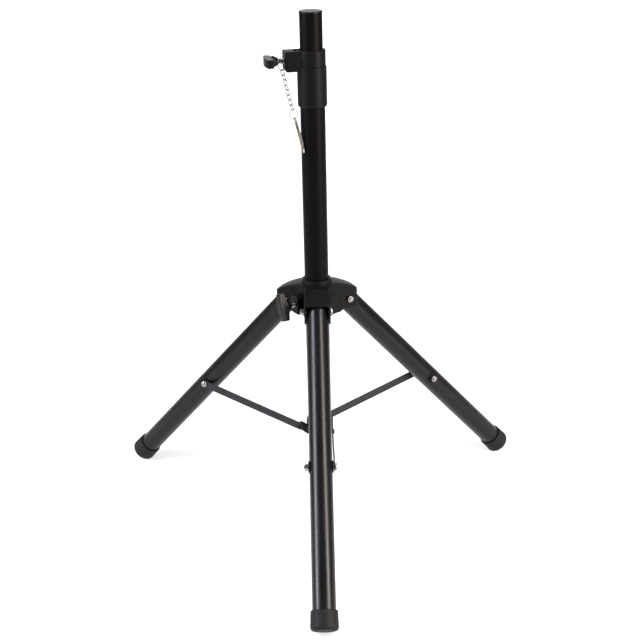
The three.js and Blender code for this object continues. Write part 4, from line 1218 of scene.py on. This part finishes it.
# %% Brace bars, and all three braces
BAR_INNER, BAR_OUTER, BAR_HALF, BAR_EDGE = 19.6, 21.8, 6.5, 0.5
RIVET = 2.5
around = np.linspace(-np.pi / 2, np.pi / 2, 25)
bar_end = BAR_HALF * np.stack([np.cos(around), np.sin(around)], -1)
rivet_grid = button_bolt(RIVET, head=4.5, height=2, start=BAR_INNER, seat=BAR_OUTER + GAP,
                         socket=False)
for leg in LEGS:
    side, elbow = arms[leg]["side"], arms[leg]["elbow"]
    along = np.cross(arms[leg]["down"], side)
    outward = place(elbow, along, side)
    piece("saddle_washer_outer_" + leg, outward, washer, nylon)
    piece("saddle_washer_inner_" + leg, place(elbow, along, -side), washer, nylon)
    piece("brace_bolt_" + leg, outward, brace_bolt, zinc)
    piece("brace_nut_" + leg, outward, brace_nut, zinc)
    inner = mast_foot + arms[leg]["out"] * inner_reach + UP * inner_height
    reach = [np.linalg.norm(elbow - inner), 0, 0]
    bar_frame = place(elbow, elbow - inner, side)
    plan = np.concatenate([bar_end, -bar_end - reach[:2]])
    bar = solid("bar", bar_frame, slab(plan, BAR_INNER, BAR_OUTER, BAR_EDGE))
    drills = [solid("drill", bar_frame, rod(BOLT + GAP, 0, DRILL_HALF, BOLT_SIDES)),
              solid("drill", bar_frame, rod(RIVET + GAP, 0, DRILL_HALF, BOLT_SIDES) - reach)]
    present("brace_bar_" + leg, combined(bar, "DIFFERENCE", *drills), bar_coat)
    piece("brace_rivet_" + leg, bar_frame, rivet_grid - reach, smooth_nylon)

# %% [markdown]
# ## The spreader collar
#
# The collar at the mast's foot gathers the three braces. It is a moulded band with a lug for each
# brace, whose end is rounded about the rivet so that the brace can swing past it. The lug widens
# to a gusset where it meets the band, as a real moulding has to, and a small screw fixes the band.

# %% Spreader collar and its screw
BAND_WALL, BAND_EDGE = 2.8, 0.8
LUG_INNER, LUG_OUTER = 13.3, 19.3
SCREW_AZIMUTH, SCREW_DROP, SMALL_SCREW = math.radians(145), 5, 2
spread_low, spread_high = span("spreader_collar")
foot_z, head_z = spread_low[2], spread_high[2]
band_radius = mast_fit + BAND_WALL
band = solid("band", mast_frame, tube(mast_fit, band_radius - TRUE, foot_z, head_z, BAND_EDGE))
lug_plan = rounded([(6, -11.8, 0), (inner_reach - 12, -11.8, 3), (inner_reach + 1, -6.4, 0),
                    (inner_reach + 6.4, -6.2, 6), (inner_reach + 6.4, 6.2, 6),
                    (inner_reach - 1, 6.2, 0), (6, 0, 0)], closed=True, steps=14)
lug = slab(lug_plan, LUG_INNER, LUG_OUTER, 0.8)
lug = np.stack([lug[..., 0], lug[..., 2], lug[..., 1]], -1)
lugs = [solid("lug", arm_frame(leg, inner_height), lug) for leg in LEGS]
combined(band, "UNION", *lugs)
screw_frame = facing(SCREW_AZIMUTH, head_z - SCREW_DROP)
cut_bore = solid("bore", mast_frame, rod(mast_fit, foot_z - CLEAR, head_z + CLEAR))
small_hole = solid("hole", screw_frame, along_x(rod(SMALL_SCREW + GAP, 0, 40, 24)))
present("spreader_collar", combined(band, "DIFFERENCE", cut_bore, small_hole), nylon)
head = button_bolt(SMALL_SCREW, head=3.75, height=2, start=mast_fit, seat=band_radius + GAP)
piece("collar_screw", screw_frame, along_x(head), zinc)
bare = sorted(node for node in body_of if "fine_" + node not in bpy.data.objects)
print("nodes without a finished piece:", bare)

# %% [markdown]
# ## The sheet
#
# The stand is shown on a white sheet that curves up behind it, as a roll of paper does in a small
# studio. To the camera, and in reflections, the sheet mixes its own white with the light that
# falls on it, so it stays white while the stand still casts its soft shadow. It is narrow and
# ends in front of the stand on purpose: a longer one would fill the black tubes with grey.

# %% Roll out the sheet
OWN_LIGHT = 0.5  # share of the sheet's own light in what is seen of it
GLOW_FROM, GLOW_TO = 0.4, 2.4  # behind the stand, in metres: between these the glow grows
GLOW_LEAST, GLOW_MOST = 1.25, 1.65
SHEET_HALF, SHEET_FRONT, SHEET_BACK = 1500, -900, 3500
SHEET_BEND, SHEET_TOP = 900, 3000


def white_sheet(name):
    """White with a share of its own light, which only views and reflections receive."""
    material, tree, place_in = new_finish(name)
    path = add(tree, "ShaderNodeLightPath")
    seen = add(tree, "ShaderNodeMath", {"operation": "MAXIMUM"}, i0=(path, "Is Camera Ray"),
               i1=(path, "Is Glossy Ray"))
    seen = add(tree, "ShaderNodeMath", {"operation": "MAXIMUM"}, i0=(seen, 0),
               i1=(path, "Is Transmission Ray"))
    share = add(tree, "ShaderNodeMath", {"operation": "MULTIPLY"}, i0=(seen, 0), i1=OWN_LIGHT)
    white = add(tree, "ShaderNodeBsdfDiffuse", Color=linear("#f4f4f4"))
    where = add(tree, "ShaderNodeSeparateXYZ", Vector=place_in)
    level = add(tree, "ShaderNodeMapRange", Value=(where, "Y"), From_Min=GLOW_FROM,
                From_Max=GLOW_TO, To_Min=GLOW_LEAST, To_Max=GLOW_MOST)
    glow = add(tree, "ShaderNodeEmission", Color=(1, 1, 1, 1), Strength=(level, 0))
    mixed = add(tree, "ShaderNodeMixShader", i0=(share, 0), i1=(white, 0), i2=(glow, 0))
    add(tree, "ShaderNodeOutputMaterial", Surface=(mixed, 0))
    return material


def sheet_profile():
    """Level floor, a quarter circle, and a wall, as points of (y, z) in millimetres."""
    arc = np.linspace(0, np.pi / 2, 24)
    curve = np.stack([SHEET_BACK - SHEET_BEND + SHEET_BEND * np.sin(arc),
                      SHEET_BEND - SHEET_BEND * np.cos(arc)], -1)
    return np.concatenate([[[SHEET_FRONT, 0]], curve, [[SHEET_BACK, SHEET_TOP]]])


profile = sheet_profile()
sweep = np.array([-SHEET_HALF, SHEET_HALF])[:, None]
grid = np.stack([sweep + 0 * profile[:, 0], profile[:, 0] + 0 * sweep, profile[:, 1] + 0 * sweep], -1)
sheet_mesh = bpy.data.meshes.new("white_sheet")
sheet_faces = grid_faces(*grid.shape[:2], close_columns=False)
sheet_mesh.from_pydata((grid.reshape(-1, 3) * MM).tolist(), [], sheet_faces.tolist())
sheet_mesh.materials.append(white_sheet("white_paper_sheet"))
shown("white_sheet", sheet_mesh)
print("sheet of", len(sheet_faces), "faces,", 2 * SHEET_HALF * MM, "m wide")

# %% [markdown]
# ## Room and lamps
#
# Two tall soft lamps at the sides draw the pair of streaks along every tube, the left one cool and
# the right one warm, and a wide lamp lights the top faces. They stand three metres off, so the
# streaks stay parallel to the tubes from end to end. A dim even room fills what they leave dark.
# A lamp's power follows from the brightness wanted, times pi and its area, so its size can
# change without its brightness changing. Together they light a face that is turned to them two
# or three times as much as plain white needs, so the black finishes above are written darker
# than they look.

# %% Light the stand
ROOM_LIGHT = 0.25


def soft_lamp(name, azimuth, elevation, distance, middle, width, height, strength, colour):
    """A rectangle of light of a given radiance, off in a direction from a point on the mast's
    line and turned to face that point; height runs upwards."""
    data = bpy.data.lights.new(name, "AREA")
    data.shape = "RECTANGLE"
    data.size = width
    data.size_y = height
    data.energy = strength * math.pi * width * height
    data.color = linear(colour)[:3]
    lamp = shown(name, data)
    around_z, rise = math.radians(azimuth), math.radians(elevation)
    ahead = np.array([math.cos(around_z), math.sin(around_z), 0])
    toward = math.cos(rise) * ahead + math.sin(rise) * UP
    target = mast_foot * MM + UP * middle
    level = [-math.sin(around_z), math.cos(around_z), 0]
    lamp.matrix_world = Matrix(place(target + toward * distance, level, toward))
    lamp.visible_camera = False
    print(name, "at", [round(float(x), 2) for x in lamp.matrix_world.translation], "m")


world = bpy.data.worlds.new("soft_room")
world.use_nodes = True
world.node_tree.nodes.clear()
glow = add(world.node_tree, "ShaderNodeBackground", Color=linear("#f2f3f5"),
           Strength=ROOM_LIGHT)
add(world.node_tree, "ShaderNodeOutputWorld", Surface=(glow, 0))
bpy.context.scene.world = world
soft_lamp("left_softbox", azimuth=-162, elevation=0, distance=3.0, middle=2.37,
          width=0.8, height=3.6, strength=23.5, colour="#f0f4ff")
soft_lamp("right_softbox", azimuth=-34, elevation=0, distance=3.0, middle=2.65,
          width=0.62, height=5.2, strength=29.0, colour="#fff4ea")
soft_lamp("top_softbox", azimuth=90, elevation=70, distance=2.4, middle=0.5,
          width=1.8, height=1.8, strength=1.3, colour="#ffffff")
bpy.context.scene.view_settings.view_transform = "Standard"
